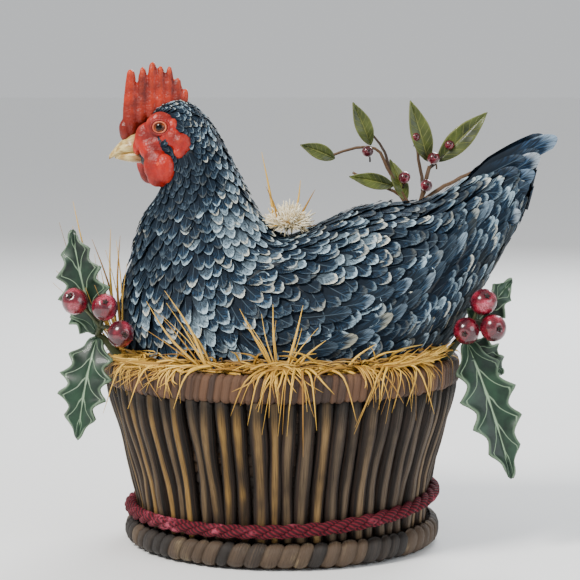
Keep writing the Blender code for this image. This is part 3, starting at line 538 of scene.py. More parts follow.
def skin(position, angle, out):
    """Points of the hen's skin; angle is 0 on her back and pi below, on the +Y side."""
    values = catmull_rom(STATIONS, np.clip(position, 0, len(STATIONS) - 1))
    top, bottom, width = values[:, 0:2], values[:, 2:4], values[:, 4]
    half = (top - bottom) / 2
    half = half * (1 + out / np.linalg.norm(half, axis=1))[:, None]
    plane = (top + bottom) / 2 + half * np.cos(angle)[:, None]
    return np.stack([plane[:, 0], (width + out) * np.sin(angle), plane[:, 1]], axis=1)


def skin_scale(position, angle):
    """Millimetres per unit of position and of angle, at each place."""
    step = 0.02
    run = skin(position + step, angle, 0.0) - skin(position - step, angle, 0.0)
    turn = skin(position, angle + step, 0.0) - skin(position, angle - step, 0.0)
    scale_run = np.linalg.norm(run, axis=1) / (2 * step)
    scale_turn = np.linalg.norm(turn, axis=1) / (2 * step)
    return np.maximum(scale_run, 0.4), np.maximum(scale_turn, 0.4)


def wing_cover(position, angle):
    """1 over a wing, 0 away from it, with a soft edge."""
    part = (position - 7.9) / 5.7
    inside = np.clip(part, 0.0, 1.0)
    spread = np.radians(31) * np.sqrt(np.sin(math.pi * (0.08 + 0.84 * inside)))
    centre = np.radians(70 - 8 * inside)
    away = np.abs(np.abs(angle) - centre) / spread
    edge = np.clip((1.22 - away) / 0.25, 0.0, 1.0)
    ends = np.clip((part + 0.07) / 0.09, 0.0, 1.0) * np.clip((1.09 - part) / 0.09, 0.0, 1.0)
    return edge * ends


def ridge_noise(points, size):
    """A cheap smooth pattern from crossed waves, between 0 and 1."""
    x, y, z = points.T / size
    total = np.sin(x * 1.7 + 2.1 * np.sin(y * 0.9 + 0.4)) + np.sin(z * 1.3 + 1.7 * np.sin(x * 0.8 + 1.1))
    return 0.5 + 0.25 * (total + np.sin(y * 1.9 + 1.3 * np.sin(z * 1.1))) / 1.5


# ---------------------------------------------------------------- feathers

STEPS_ALONG = 7
ACROSS = np.linspace(-1.0, 1.0, 5)
FEATHER_TRIES = 90000
TAIL_END = 15.95


def scatter(count, low, high, spacing, keep):
    """Places on the skin at least spacing apart, which varies along her; keep refuses places."""
    position = rng.uniform(low, high, count)
    angle = rng.uniform(-math.pi, math.pi, count)
    points = skin(position, angle, np.zeros(count))
    gap = spacing(position, angle, points)
    allowed = keep(position, angle, points)
    cell = 3.0
    taken = {}
    chosen = []
    for index in range(count):
        if not allowed[index]:
            continue
        home = tuple(int(v) for v in np.floor(points[index] / cell))
        near = [
            other
            for dx in (-1, 0, 1) for dy in (-1, 0, 1) for dz in (-1, 0, 1)
            for other in taken.get((home[0] + dx, home[1] + dy, home[2] + dz), ())
        ]
        if near and np.min(np.linalg.norm(points[near] - points[index], axis=1)) < gap[index]:
            continue
        taken.setdefault(home, []).append(index)
        chosen.append(index)
    return position[chosen], angle[chosen], points[chosen]


def outline_width(along):
    """Half width of a vane from root (0) to tip (1): narrow quill, full middle, a little less at its end."""
    quill = min(along / 0.25, 1.0) ** 0.6 * 0.65 + 0.35
    return quill * (1 - 0.18 * along ** 4)


def lay_feathers(name, position, angle, length, width, turn, lift, material, light, base=0.25):
    """Feathers laid back along the skin from their roots, each rising a little towards its tip."""
    count = len(position)
    here_position, here_angle = position.copy(), angle.copy()
    slant = turn.copy()
    rows, uv = [], []
    for step in range(STEPS_ALONG):
        along = step / (STEPS_ALONG - 1)
        if step:
            scale_run, scale_turn = skin_scale(here_position, here_angle)
            stride = length / (STEPS_ALONG - 1)
            here_position = here_position + stride * np.cos(slant) / scale_run
            here_angle = here_angle + stride * np.sin(slant) / scale_turn
            here_position = np.minimum(here_position, TAIL_END)
        scale_run, scale_turn = skin_scale(here_position, here_angle)
        half = width * outline_width(along)
        for side in ACROSS:
            across = side * half
            back = -0.95 * width * side ** 2 * along ** 2
            run = back * np.cos(slant) - across * np.sin(slant)
            place = here_position + run / scale_run
            bearing = here_angle + (across * np.cos(slant) + back * np.sin(slant)) / scale_turn
            height = base + wing_cover(place, bearing) * 1.35
            height = height + lift * along ** 1.3 - abs(side) * half * 0.12 * (1 - 0.5 * along)
            rows.append(skin(place, bearing, np.maximum(height, 0.08)))
            uv.append(np.tile(((side + 1) / 2, along), (count, 1)))
    each = STEPS_ALONG * len(ACROSS)
    quads = np.array(grid_faces(STEPS_ALONG, len(ACROSS)))
    faces = (np.arange(count)[:, None, None] * each + quads[None]).reshape(-1, 4)
    tone = rng.uniform(0, 1, count)
    mesh_piece(
        name, np.stack(rows, axis=1).reshape(-1, 3), faces.tolist(), material, "hen",
        uv=np.stack(uv, axis=1).reshape(-1, 2), slot="feathers",
        tone=np.repeat(tone, each), light=np.repeat(light, each),
    )


# Ovals of bare red skin on the side of the head: centre x, z and half sizes
BARE_OVALS = [
    (-34.4, 119.6, 4.0, 4.0), (-29.2, 114.9, 3.5, 3.3), (-32.5, 116.5, 2.6, 2.4),
    (-40.5, 114.5, 4.0, 5.0), (-37.5, 111.5, 3.4, 3.6),
]


def bare_skin(position, angle, points):
    """True on the red face, where no feathers grow."""
    bare = position < 0.7
    for x, z, wide, tall in BARE_OVALS:
        inside = ((points[:, 0] - x) / wide) ** 2 + ((points[:, 2] - z) / tall) ** 2 < 1
        bare = bare | (inside & (position < 3.6))
    return bare


def body_spacing(position, angle, points):
    return np.interp(position, [0, 2.5, 4.5, 7.0, 9.5, 16], [0.8, 1.05, 1.7, 2.35, 2.65, 2.6])


KEY_X, KEY_Z = (corner("key_escutcheon", 0)[[0, 2]] + corner("key_escutcheon", 1)[[0, 2]]) / 2
KEY_REACH = (corner("winding_key", 1)[0] - corner("winding_key", 0)[0]) / 2


def make_feathers():
    dark = feather_material()
    rump = feather_material("rump_feathers", "#11181d", "#38495a", "#8f9fa8", "#a39a80")

    def keep(position, angle, points):
        high = points[:, 2] > 35.0
        by_key = np.hypot(points[:, 0] - KEY_X, points[:, 2] - KEY_Z) < 7.4
        ahead = np.hypot(points[:, 0] - KEY_X + 3.5, points[:, 2] - KEY_Z - 4.5) < 7.0
        key = (by_key | ahead) & (points[:, 1] > 0)
        return high & ~key & ~bare_skin(position, angle, points)

    position, angle, points = scatter(FEATHER_TRIES, 0.25, 15.6, body_spacing, keep)
    order = np.argsort(position)
    position, angle, points = position[order], angle[order], points[order]
    count = len(position)
    patch = ridge_noise(points, 9.0)
    fine = ridge_noise(points + 40.0, 3.1)
    length = np.interp(position, [0, 2.5, 5, 8, 11, 13.5, 16], [2.4, 3.4, 5.8, 8.0, 9.5, 12.0, 14.0])
    length = length * rng.uniform(0.85, 1.2, count)
    width = np.interp(position, [0, 2.5, 5, 8, 11, 16], [0.75, 1.0, 1.75, 2.3, 2.2, 1.9])
    width = width * rng.uniform(0.85, 1.15, count)
    side = np.sign(angle + 1e-9)
    back = np.clip(1.35 - np.abs(angle) / np.radians(100), 0.0, 1.0)
    droop = np.interp(position, [0, 3, 6.5, 8.5, 12, 14, 16], [0, 0.1, 0.12, 0.62, 0.5, 0.12, 0]) * back
    turn = side * droop + rng.normal(0, 0.17, count)
    lift = np.interp(position, [0, 4, 8, 16], [0.5, 0.8, 1.25, 1.5]) * rng.uniform(0.7, 1.3, count)
    light = np.clip(0.05 + 0.75 * patch + 0.7 * (fine - 0.5) + rng.normal(0, 0.2, count), 0, 1)
    nape = np.exp(-((points[:, 0] + 13) / 9) ** 2 - ((points[:, 2] - 95) / 14) ** 2)
    throat = np.exp(-((points[:, 0] + 27) / 6) ** 2 - ((points[:, 2] - 104) / 8) ** 2)
    brow = np.exp(-((points[:, 0] + 33) / 6) ** 2 - ((points[:, 2] - 125) / 3.5) ** 2)
    light = np.clip(light + 0.55 * nape + 0.55 * brow - 0.5 * throat, 0, 1)
    neck = position < 7.0
    ragged_height = points[:, 2] + rng.normal(0, 3.0, count)
    under = ~neck & (ragged_height < 50.0 + (points[:, 0] - 20.0) * 0.75) & (points[:, 0] > 18)
    for part, chosen, material in (
        ("neck_feathers", neck, dark), ("body_feathers", ~neck & ~under, dark),
        ("rump_feathers", under, rump),
    ):
        lay_feathers(
            part, position[chosen], angle[chosen], length[chosen], width[chosen], turn[chosen],
            lift[chosen], material, light[chosen],
        )
    print("feathers", count)


def end_feathers():
    """Short feathers up the blunt end of the tail, as root, direction, facing, length, width and droop."""
    ring = skin(np.full(24, 15.9), np.linspace(-math.pi, math.pi, 24, endpoint=False), np.zeros(24))
    middle = ring.mean(axis=0)
    facing = np.cross(ring[0] - middle, ring[6] - middle)
    facing *= math.copysign(1.0, facing[0]) / np.linalg.norm(facing)
    rise = unit(np.array((0.0, 0.0, 1.0)) - facing * facing[2])
    aside = np.cross(facing, rise)
    tall = np.abs((ring - middle) @ rise).max()
    wide = np.abs((ring - middle) @ aside).max()
    found = []
    for row in range(8):
        level = 1.0 - 1.7 * row / 7
        for column in range(-2, 3):
            across = (column + 0.5 * (row % 2)) / 2.2
            if level ** 2 * 0.8 + across ** 2 > 1.25:
                continue
            root = middle + rise * (level * tall - 1.5) + aside * across * wide + facing * 0.4
            forward = unit(rise + facing * 0.07 + aside * (0.25 * across + random.uniform(-0.08, 0.08)))
            sheet = unit(facing - forward * (facing @ forward))
            found.append((root, forward, sheet, random.uniform(5.0, 6.5), 1.7, 0.0))
    return found


def make_tail_feathers():
    """Long quills fanned from the tail cover, with shorter coverts over their roots."""
    material = feather_material("tail_feathers", "#0e1822", "#33557a", "#93abc2", "#a9b4bd")
    points, faces, uv, tones, lights = [], [], [], [], []
    fan = [(rank / 7, side, 0.0) for rank in range(8) for side in (-1, 1)]
    fan += [((rank + 0.5) / 5, side, 1.0) for rank in range(5) for side in (-1, 1)]
    quills = []
    for height, side, outer in fan:
        length = (15.0 + 11.0 * height) * (1.0 - 0.2 * outer) * random.uniform(0.9, 1.06)
        rise = math.radians(40 - 10 * height + random.uniform(-4, 4))
        across = side * (2.0 + 3.4 * (1 - height) + 1.4 * outer)
        root = np.array((54.0 + 1.5 * height - 2.0 * outer, across, 84.5 + 20.5 * height))
        away = side * (0.12 + 0.1 * (1 - height))
        forward = unit(np.array((math.cos(rise), away, math.sin(rise) + 0.05)))
        sheet = unit(np.array((0.0, side * 1.0, 0.0)) - forward * forward[1] * side)
        quills.append((root, forward, sheet, length, 2.9 * (1.0 - 0.12 * outer), 1.6))
    quills.extend(end_feathers())
    rows, columns = 12, 7
    for root, forward, sheet, length, width, droop in quills:
        up = np.cross(sheet, forward)
        faces += grid_faces(rows, columns, len(points))
        tone, light = random.random(), random.uniform(0.1, 0.7)
        for row in range(rows):
            along = row / (rows - 1)
            half = width * outline_width(along)
            for column in range(columns):
                across = column / (columns - 1) * 2 - 1
                run = length * along - 0.95 * width * across ** 2 * along ** 2
                centre = root + forward * run + np.array((0.0, 0.0, -droop * along ** 2))
                bow = sheet * width * (0.31 * (1 - across ** 2) + 0.09 * (0.15 - abs(across)))
                points.append(centre + up * across * half + bow)
                uv.append(((across + 1) / 2, along))
        tones += [tone] * rows * columns
        lights += [light] * rows * columns
    mesh_piece("tail_quills", points, faces, material, "hen", uv=uv, slot="feathers", tone=tones,
               light=lights)


def make_flight_feathers():
    """Secondaries and primaries of the folded wings, longest along the lower edge, one over the other."""
    material = feather_material("flight_feathers", "#0f1820", "#34506a", "#8fa3b3", "#a8a794")
    position, angle, length, turn = [], [], [], []
    for side in (-1, 1):
        for count, run, bearing, reach, lean in (
            (13, (9.3, 3.4), (92, -22), (19.0, 5.0), (-8, 2)),
            (10, (9.6, 3.5), (75, -12), (13.5, 3.0), (-4, 0)),
        ):
            for rank in range(count):
                part = rank / (count - 1)
                position.append(run[0] + run[1] * part)
                spread = random.uniform(-1.5, 1.5)
                angle.append(side * math.radians(bearing[0] + bearing[1] * part + spread))
                length.append(reach[0] + reach[1] * part)
                turn.append(side * math.radians(lean[0] + lean[1] * part))
    count = len(position)
    lay_feathers(
        "flight_feathers", np.array(position), np.array(angle), np.array(length), np.full(count, 2.3),
        np.array(turn), np.full(count, 1.5), material, rng.uniform(0.2, 0.7, count), base=0.75,
    )


# ---------------------------------------------------------------- basket

REEDS = 66


def make_reeds():
    """Stout upright reeds round the wall, each a little different, over a woven inner lining."""
    strands = Strands()
    heights = np.linspace(WALL_LOW - 0.6, RIM_LOW + 0.8, 15)
    for reed in range(REEDS):
        middle = TAU * (reed + random.uniform(-0.16, 0.16)) / REEDS
        size = random.uniform(0.88, 1.14)
        sway = random.uniform(-0.012, 0.012)
        bulge = random.uniform(-0.35, 0.35)
        phase = random.uniform(0, TAU)
        path, radii = [], []
        for step, height in enumerate(heights):
            part = step / (len(heights) - 1)
            radius = wall_radius(height)
            out = radius - 1.7 + bulge + 0.22 * math.sin(part * 9 + phase)
            path.append(round_axis(out, middle + sway * math.sin(part * 4.2 + phase), height))
            swell = 1 + 0.06 * math.sin(part * 12 + phase * 2)
            radii.append(TAU * radius / REEDS * 0.52 * size * swell)
        strands.tube(path, radii, sides=12, flat=0.95, roll=0.3)
    strands.piece("wall_reeds", reed_material(), "basket", slot="wicker", replaces=("basket_wall",))


def make_lining():
    """Flat splints woven round the inside of the reeds."""
    strands = Strands()
    rows = 13
    for row in range(rows):
        height = WALL_LOW + 1.2 + (RIM_LOW - WALL_LOW - 1.6) * row / (rows - 1)
        inside = wall_radius(height) - WALL_THICKNESS - 0.15
        path = [
            round_axis(inside + 0.175 * math.cos(math.pi * (step + row)), TAU * step / (REEDS * 2), height)
            for step in range(REEDS * 2)
        ]
        strands.tube(path, 1.9, sides=8, thin=0.3, closed=True, lengthways=14.0)
    material = streaked_material("lining_wicker", "#140e0a", "#3d2b1c", "#7a5830", along=2.0, bump=0.7)
    strands.piece("wall_lining", material, "basket", slot="wicker")


def wrapped_ring(name, profile, wraps, slant, depth, material, replaces, rows_per_wrap=8):
    """A ring of cane wound round a core: profile gives the section, wraps the number of turns."""
    profile = np.asarray(profile, dtype=float)
    centre = profile.mean(axis=0)
    tones = [random.random() for _ in range(wraps)]
    widths = np.cumsum([random.uniform(0.75, 1.25) for _ in range(wraps)])
    widths = np.concatenate([[0.0], widths]) / widths[-1]
    swell = [random.uniform(0.75, 1.2) for _ in range(wraps)]
    points, uv = [], []
    around = len(profile)
    for wrap in range(wraps):
        for row in range(rows_per_wrap):
            inner = row / rows_per_wrap
            share = widths[wrap] + (widths[wrap + 1] - widths[wrap]) * inner
            crown = math.sin(math.pi * inner) ** 0.55 if row else 0.0
            for index, (radius, height) in enumerate(profile):
                away = unit(profile[index] - centre)
                lift = depth * (crown * swell[wrap] - 0.6)
                angle = TAU * share + slant * (height - centre[1]) / 10.0
                points.append(round_axis(radius + away[0] * lift, angle, height + away[1] * lift))
                uv.append((inner, index / around * 2.0 + wrap * 0.37))
    faces = grid_faces(wraps * rows_per_wrap, around, around=True, looped=True, flip=True)
    tone = np.repeat(tones, rows_per_wrap * around)
    mesh_piece(name, points, faces, material, "basket", uv=uv, slot="wicker", replaces=replaces, tone=tone)


def rounded_section(inner, outer, low, high, radius, steps=4):
    """A rounded rectangle in (radius, height), anticlockwise."""
    section = []
    corners = ((outer - radius, low + radius, -90), (outer - radius, high - radius, 0),
               (inner + radius, high - radius, 90), (inner + radius, low + radius, 180))
    for across, up, start in corners:
        for step in range(steps):
            angle = math.radians(start + 90 * step / (steps - 1))
            section.append((across + radius * math.cos(angle), up + radius * math.sin(angle)))
    return section


def make_rim_and_foot():
    section = rounded_section(RIM_RADIUS - 4.3, RIM_RADIUS - 0.35, RIM_LOW + 0.2, RIM_HIGH - 0.2, 1.9)
    material = streaked_material("rim_wicker", "#2c1b11", "#5c3d26", "#b5874a", along=1.2, bump=0.9,
                                 distance=0.4)
    wrapped_ring("rim_wraps", section, 150, 0.03, 0.6, material, ("basket_rim",))
    section = rounded_section(FOOT_RADIUS - 4.6, FOOT_RADIUS - 0.5, 0.85, FOOT_HIGH - 0.3, 2.4)
    material = streaked_material("foot_wicker", "#17100b", "#4b3a29", "#b5a076", along=1.0, bump=0.9,
                                 distance=0.5)
    wrapped_ring("foot_wraps", section, 68, 0.08, 0.85, material, ("basket_foot",), rows_per_wrap=10)


def make_floor_weave():
    """Splints woven across the floor board, seen when the hen is lifted."""
    strands = Strands()
    half = 38.5
    top = corner("basket_floor", 1)[2]
    gap = 3.6
    lines = int(half / gap)
    for line in range(-lines, lines + 1):
        across = line * gap
        reach = math.sqrt(half ** 2 - across ** 2)
        for way in (0, 1):
            steps = max(int(reach * 2 / 1.2), 6)
            path = []
            for step in range(steps + 1):
                along = -reach + 2 * reach * step / steps
                weave = 0.32 * math.cos(math.pi * (along / gap + line + way))
                height = top + 0.35 + weave
                path.append((along, across, height) if way == 0 else (across, along, height))
            strands.tube(path, 1.45, sides=6, flat=0.2, roll=0.0, lengthways=5.0)
    material = streaked_material("floor_wicker", "#2a1c10", "#6d4d2b", "#a98250", along=2.0)
    strands.piece("floor_weave", material, "basket", slot="wicker")


def rope_centre(angle):
    low, rise = 10.4, 4.6
    return wall_radius(11.0) + 1.9, low + rise * ((1 + math.cos(angle)) / 2) ** 3


def make_rope():
    """Three twisted strands tight round the wall above the foot, climbing at the +X side."""
    strands = Strands()
    turns, count = 17, 420
    for strand in range(3):
        path = []
        for step in range(count):
            angle = TAU * step / count
            radius, height = rope_centre(angle)
            twist = angle * turns + TAU * strand / 3
            path.append(round_axis(radius + 0.92 * math.cos(twist), angle, height + 0.92 * math.sin(twist)))
        strands.tube(path, 1.08, sides=10, closed=True, tone=strand / 3 + 0.1, lengthways=240.0)
    m = Shading("crimson_rope")
    across, along, _ = m.split(m.uv())
    fibre = m.math("SINE", m.times(m.plus(m.times(across, 4.0), along), TAU))
    fuzz = m.noise(m.position(), 900.0, 3.0)
    cloud = m.noise(m.position(), 110.0, 3.0)
    colour = m.mix(m.range(fibre, -0.8, 0.9), "#2c0710", "#63101f")
    # Painted highlight: pink patches where cloud and fuzz are high.
    colour = m.mix(m.times(m.range(cloud, 0.5, 0.7), m.range(fuzz, 0.4, 0.6)), colour, "#a84a5c")
    m.set(Base_Color=colour, Roughness=0.8, Specular_IOR_Level=0.25)
    m.bump(m.plus(fibre, fuzz), 0.6, 0.2)
    strands.piece("rope_strands", m.material, "basket", slot="rope", replaces=("rope_band",))


# ---------------------------------------------------------------- straw

BED_STRANDS = 620
LOOSE_BLADES = 150
DOWN_STRANDS = 1100


def straw_material(name="straw", dark="#94671f", light="#e2b347", glow="#fbe79c"):
    return streaked_material(name, dark, light, glow, roughness=0.5, along=1.5, bump=0.5, distance=0.12)


def make_nest_straw():
    """The bed inside the rim: strands lying round the well in every direction, under the hen's belly."""
    strands = Strands()
    for _ in range(BED_STRANDS):
        start = random.uniform(0, TAU)
        sweep = random.uniform(0.12, 0.5) * random.choice((-1, 1))
        inner = random.uniform(36.5, 46.0)
        drift = random.uniform(-5.5, 5.5)
        height = random.uniform(RIM_LOW + 1.5, RIM_HIGH + 1.6)
        path = []
        for step in range(6):
            part = step / 5
            angle = start + sweep * part
            radius = min(max(inner + drift * part, 35.5), 47.2)
            over = max(radius - 45.0, 0.0)
            lift = height + over * 0.6 + random.uniform(-0.3, 0.3) + 1.3 * math.sin(math.pi * part)
            path.append(round_axis(radius, angle, lift))
        strands.tube(smooth_path(path, 8), np.linspace(random.uniform(0.24, 0.42), 0.16, 8), sides=5)
    material = straw_material("bed_straw", "#5d4118", "#b58a3b", "#e5c777")
    strands.piece("nest_bed", material, "basket", slot="straw", replaces=("straw_nest",))


def bent_blade(strands, base, tip, width, facing=(0.0, -1.0, 0.2), sag=0.12):
    """A blade from base to tip that bows sideways a little on its way."""
    base, tip = np.array(base, dtype=float), np.array(tip, dtype=float)
    bow = np.array((random.uniform(-1, 1), random.uniform(-0.5, 0.5), random.uniform(-0.4, 1.0)))
    bow = bow * np.linalg.norm(tip - base) * sag
    strands.blade(smooth_path([base, (base + tip) / 2 + bow, tip], 8), width, facing)


# Straws that stand up or hang over, as (base, tip) points in millimetres
STANDING = [
    ((-18.6, -40, 53.9), (-26.6, -41, 68.5)), ((-19.6, -41, 53.9), (-31.5, -42, 76.5)),
    ((-20.6, -40, 54.0), (-36.5, -40, 73.4)), ((-1.0, -42, 53.9), (-2.3, -40, 72.6)),
    ((-1.6, -42, 53.9), (-11.3, -41, 71.5)), ((1.0, -42, 53.9), (5.8, -41, 72.4)),
    ((3.0, -41, 53.9), (12.0, -42, 63.0)), ((17.0, -40, 54.0), (25.6, -41, 61.9)),
    ((-46.5, -12, 56.0), (-59.0, -12, 99.0)), ((-46.0, -10, 56.0), (-48.6, -10, 91.0)),
    ((-45.0, -14, 56.0), (-45.4, -16, 89.5)), ((-46.8, -8, 56.0), (-54.0, -9, 88.0)),
    ((-46.2, -13, 56.0), (-62.0, -13, 84.0)), ((-44.0, -18, 56.0), (-50.5, -20, 80.0)),
]
HANGING = [
    ((-3.0, -47.5, 54.6), (-9.0, -52.5, 41.5)), ((6.5, -47.5, 54.4), (9.4, -52.6, 40.2)),
    ((5.5, -47.5, 54.4), (5.8, -52.6, 33.0)), ((13.0, -46.5, 54.6), (20.0, -51.5, 42.4)),
    ((32.9, -35.5, 54.9), (41.6, -38.5, 42.4)), ((28.5, -38.5, 54.6), (26.6, -46.0, 46.8)),
    ((-22.0, -42.5, 54.6), (-29.0, -46.5, 45.0)), ((-33.0, -35.0, 54.6), (-42.0, -37.0, 43.5)),
    ((-39.0, -27.0, 54.8), (-49.5, -28.5, 41.0)), ((22.0, -42.5, 54.6), (33.0, -43.5, 46.0)),
]
CLUSTERS = [
    ((-30.0, -37.0, 55.4), 9.0, 16), ((-3.5, -45.5, 55.2), 6.5, 18), ((2.5, -45.0, 54.6), 7.5, 14),
    ((33.0, -33.0, 56.0), 11.0, 26), ((42.0, -22.0, 57.5), 9.0, 22), ((-41.0, -22.0, 55.6), 8.5, 20),
    ((14.0, -43.5, 55.0), 8.0, 14), ((-16.0, -43.0, 55.0), 8.0, 14),
]


# Places on the rim where straws spray out and down: direction round the rim in degrees, count, drop
SPRAYS = [
    (-92, 16, 12.0), (-86, 12, 17.0), (-52, 16, 17.0), (-40, 12, 14.0), (-63, 8, 13.0), (-128, 10, 8.0),
    (-145, 14, 10.0), (-160, 10, 9.0), (60, 8, 8.0), (100, 10, 10.0), (150, 8, 9.0),
]


def below_key(path):
    """A straw's path, pressed down where it would rise into the circle the winding key sweeps."""
    path = np.array(path)
    near = (path[:, 1] > 30.0) & (np.abs(path[:, 0] - KEY_X) < KEY_REACH + 2.0)
    path[near, 2] = np.minimum(path[near, 2], KEY_Z - KEY_REACH - 1.5)
    return path


def make_sprays(blades):
    for centre, count, drop in SPRAYS:
        for _ in range(count):
            start = math.radians(centre + random.gauss(0, 1.6))
            turn = start + random.gauss(0, 0.13)
            low = RIM_HIGH - drop * random.uniform(0.25, 1.0)
            skirt = wall_radius(min(low, WALL_HIGH)) + 0.9 if low < RIM_LOW else RIM_RADIUS + 0.5
            path = [
                round_axis(42.5, start, RIM_HIGH + 0.8),
                round_axis(48.3, start * 0.7 + turn * 0.3, RIM_HIGH + random.uniform(0.7, 1.6)),
                round_axis(RIM_RADIUS + 0.7, start * 0.35 + turn * 0.65, RIM_HIGH - 2.0),
                round_axis(skirt + 0.3, turn, low),
            ]
            path = below_key(smooth_path(path, 12))
            blades.blade(path, random.uniform(0.45, 0.95), round_axis(1.0, start, 0.5))


# Straw swept along the rim: first and last bearing in degrees, count, range of its ends over the rim
SWEEPS = [(-122, -156, 34, (-7.0, 1.0)), (-146, -172, 20, (-6.0, 1.5)), (-52, -22, 26, (1.5, 6.0))]


def make_sweeps(blades):
    for first, last, count, ends in SWEEPS:
        for _ in range(count):
            start = math.radians(first + random.gauss(0, 4.0))
            finish = start + math.radians(last - first) * random.uniform(0.45, 1.05)
            end = RIM_HIGH + random.uniform(*ends)
            path = []
            for part in (0.0, 0.3, 0.65, 1.0):
                angle = start + (finish - start) * part
                radius = 45.5 + (RIM_RADIUS + 0.9 - 45.5) * part ** 0.6
                height = RIM_HIGH + 0.9 + (end - RIM_HIGH - 0.9) * part ** 2.2 + random.uniform(-0.2, 0.7)
                path.append(round_axis(radius, angle, height))
            blades.blade(smooth_path(path, 12), random.uniform(0.6, 1.15), round_axis(1.0, start, 0.6))


def make_clusters(blades):
    """Tangles of short straws lying along the rim."""
    for centre, spread, count in CLUSTERS:
        ring = math.atan2(centre[1], centre[0])
        along, away = round_axis(1.0, ring + math.pi / 2, 0.0), round_axis(1.0, ring, 0.0)
        for _ in range(count):
            lean = random.gauss(0, 0.45)
            direction = along * math.cos(lean) * random.choice((-1, 1)) + away * math.sin(lean)
            direction[2] += random.uniform(-0.12, 0.3)
            length = random.uniform(0.7, 1.5) * spread
            middle = np.array(centre) + away * random.uniform(-2.0, 1.6) + along * random.uniform(-3, 3)
            middle[2] += random.uniform(-0.6, 1.4)
            ends = middle - direction * length / 2, middle + direction * length / 2
            bent_blade(blades, *ends, random.uniform(0.7, 1.25), facing=(away[0], away[1], 0.7))


def make_loose_blades(blades):
    """Single straws all round, most standing a little over the rim, some hanging over its edge."""
    for _ in range(LOOSE_BLADES):
        angle = random.uniform(0, TAU)
        if random.random() < 0.3:
            base_radius, tip_radius, rise = 46.0, 51.7, -random.uniform(2.0, 9.5)
        else:
            base_radius, tip_radius = random.uniform(37.5, 44.0), random.uniform(44.5, 50.5)
            rise = random.uniform(0.5, 7)
        turn = random.uniform(-0.3, 0.3)
        base = round_axis(base_radius, angle, RIM_HIGH + 0.3)
        tip = round_axis(tip_radius, angle + turn, RIM_HIGH + rise)
        middle = (base + tip) / 2
        middle[2] = RIM_HIGH + 1.6 + max(rise, 0) * 0.5
        if rise < 0:
            shoulder = tip * (1.0, 1.0, 0.0) + (0, 0, RIM_HIGH - 0.2)
            path = smooth_path([base, middle, shoulder, tip], 10)
        else:
            path = smooth_path([base, middle, tip], 8)
        blades.blade(below_key(path), random.uniform(0.55, 1.05), round_axis(1.0, angle, 0.6))


def make_straw():
    make_nest_straw()
    blades = Strands()
    make_sprays(blades)
    make_sweeps(blades)
    for base, tip in STANDING:
        bent_blade(blades, base, tip, 0.8, sag=0.06)
        for _ in range(2):
            fork = np.array(tip) + (random.uniform(-4.5, 4.5), random.uniform(-1, 1), -random.uniform(2, 8))
            bent_blade(blades, base, fork, 0.42, sag=0.08)
    for base, tip in HANGING:
        base, tip = np.array(base), np.array(tip)
        start = base * (0.86, 0.86, 1.0)
        out = np.array((tip[0] * 0.55 + base[0] * 0.45, tip[1], base[2] - 1.0))
        blades.blade(smooth_path([start, base + (0, 0, 1.0), out, tip], 12), 1.0, (0.0, -1.0, 0.3))
    make_clusters(blades)
    make_loose_blades(blades)
    blades.piece("nest_blades", straw_material(), "basket", slot="straw")
    make_back_tuft()


def make_back_tuft():
    """The pale downy tuft with a few straws at the notch between neck and back; it rides on the hen."""
    down, stalks = Strands(), Strands()
    centre = np.array((1.9, -3.0, 91.2))
    for _ in range(DOWN_STRANDS):
        direction = rng.normal(0, 1, 3)
        direction[2] = abs(direction[2]) * 0.8
        direction = unit(direction)
        start = centre + direction * (3.0, 3.2, 2.6) * random.uniform(0.5, 1.0)
        length = random.uniform(1.8, 4.2)
        curl = rng.normal(0, 0.7, 3)
        middle, tip = start + direction * length * 0.5 + curl * 0.5, start + direction * length + curl * 1.5
        down.tube(smooth_path([start, middle, tip], 6), np.linspace(0.3, 0.14, 6), sides=4)
    for base, tip in (((-2.0, -3, 91.5), (-5.8, -4, 112.6)), ((2.6, -3, 91.5), (5.3, -2, 104.5)),
                      ((3.5, -4, 91.0), (9.5, -5, 102.0)), ((-0.5, -5, 90.5), (-4.6, -7, 103.0))):
        bent_blade(stalks, base, tip, 0.75, sag=0.05)
    for _ in range(16):
        base = centre + rng.normal(0, 1.3, 3) * (1.6, 1.4, 0.3)
        lean = rng.normal(0, 1, 3)
        lean[2] = abs(lean[2]) * 0.6
        bent_blade(stalks, base, base + unit(lean) * random.uniform(4, 7.5), 0.6)
    cream = streaked_material("cream_down", "#e0cfa6", "#fbf3dc", "#ffffff", roughness=0.75, bump=0.3)
    down.piece("back_tuft", cream, "hen", slot="straw")
    stalks.piece("back_straws", straw_material("back_straw"), "hen", slot="straw")


# ---------------------------------------------------------------- holly and twig

def holly_outline(part, spines):
    """Half width of a spiny leaf from stalk (0) to tip (1), scalloped between its points."""
    body = math.sin(math.pi * min(part, 1.0) ** 0.8) ** 0.75
    saw = part * spines % 1.0
    scallop = 0.58 + 0.42 * abs(2 * saw - 1) ** 1.6
    return body * scallop


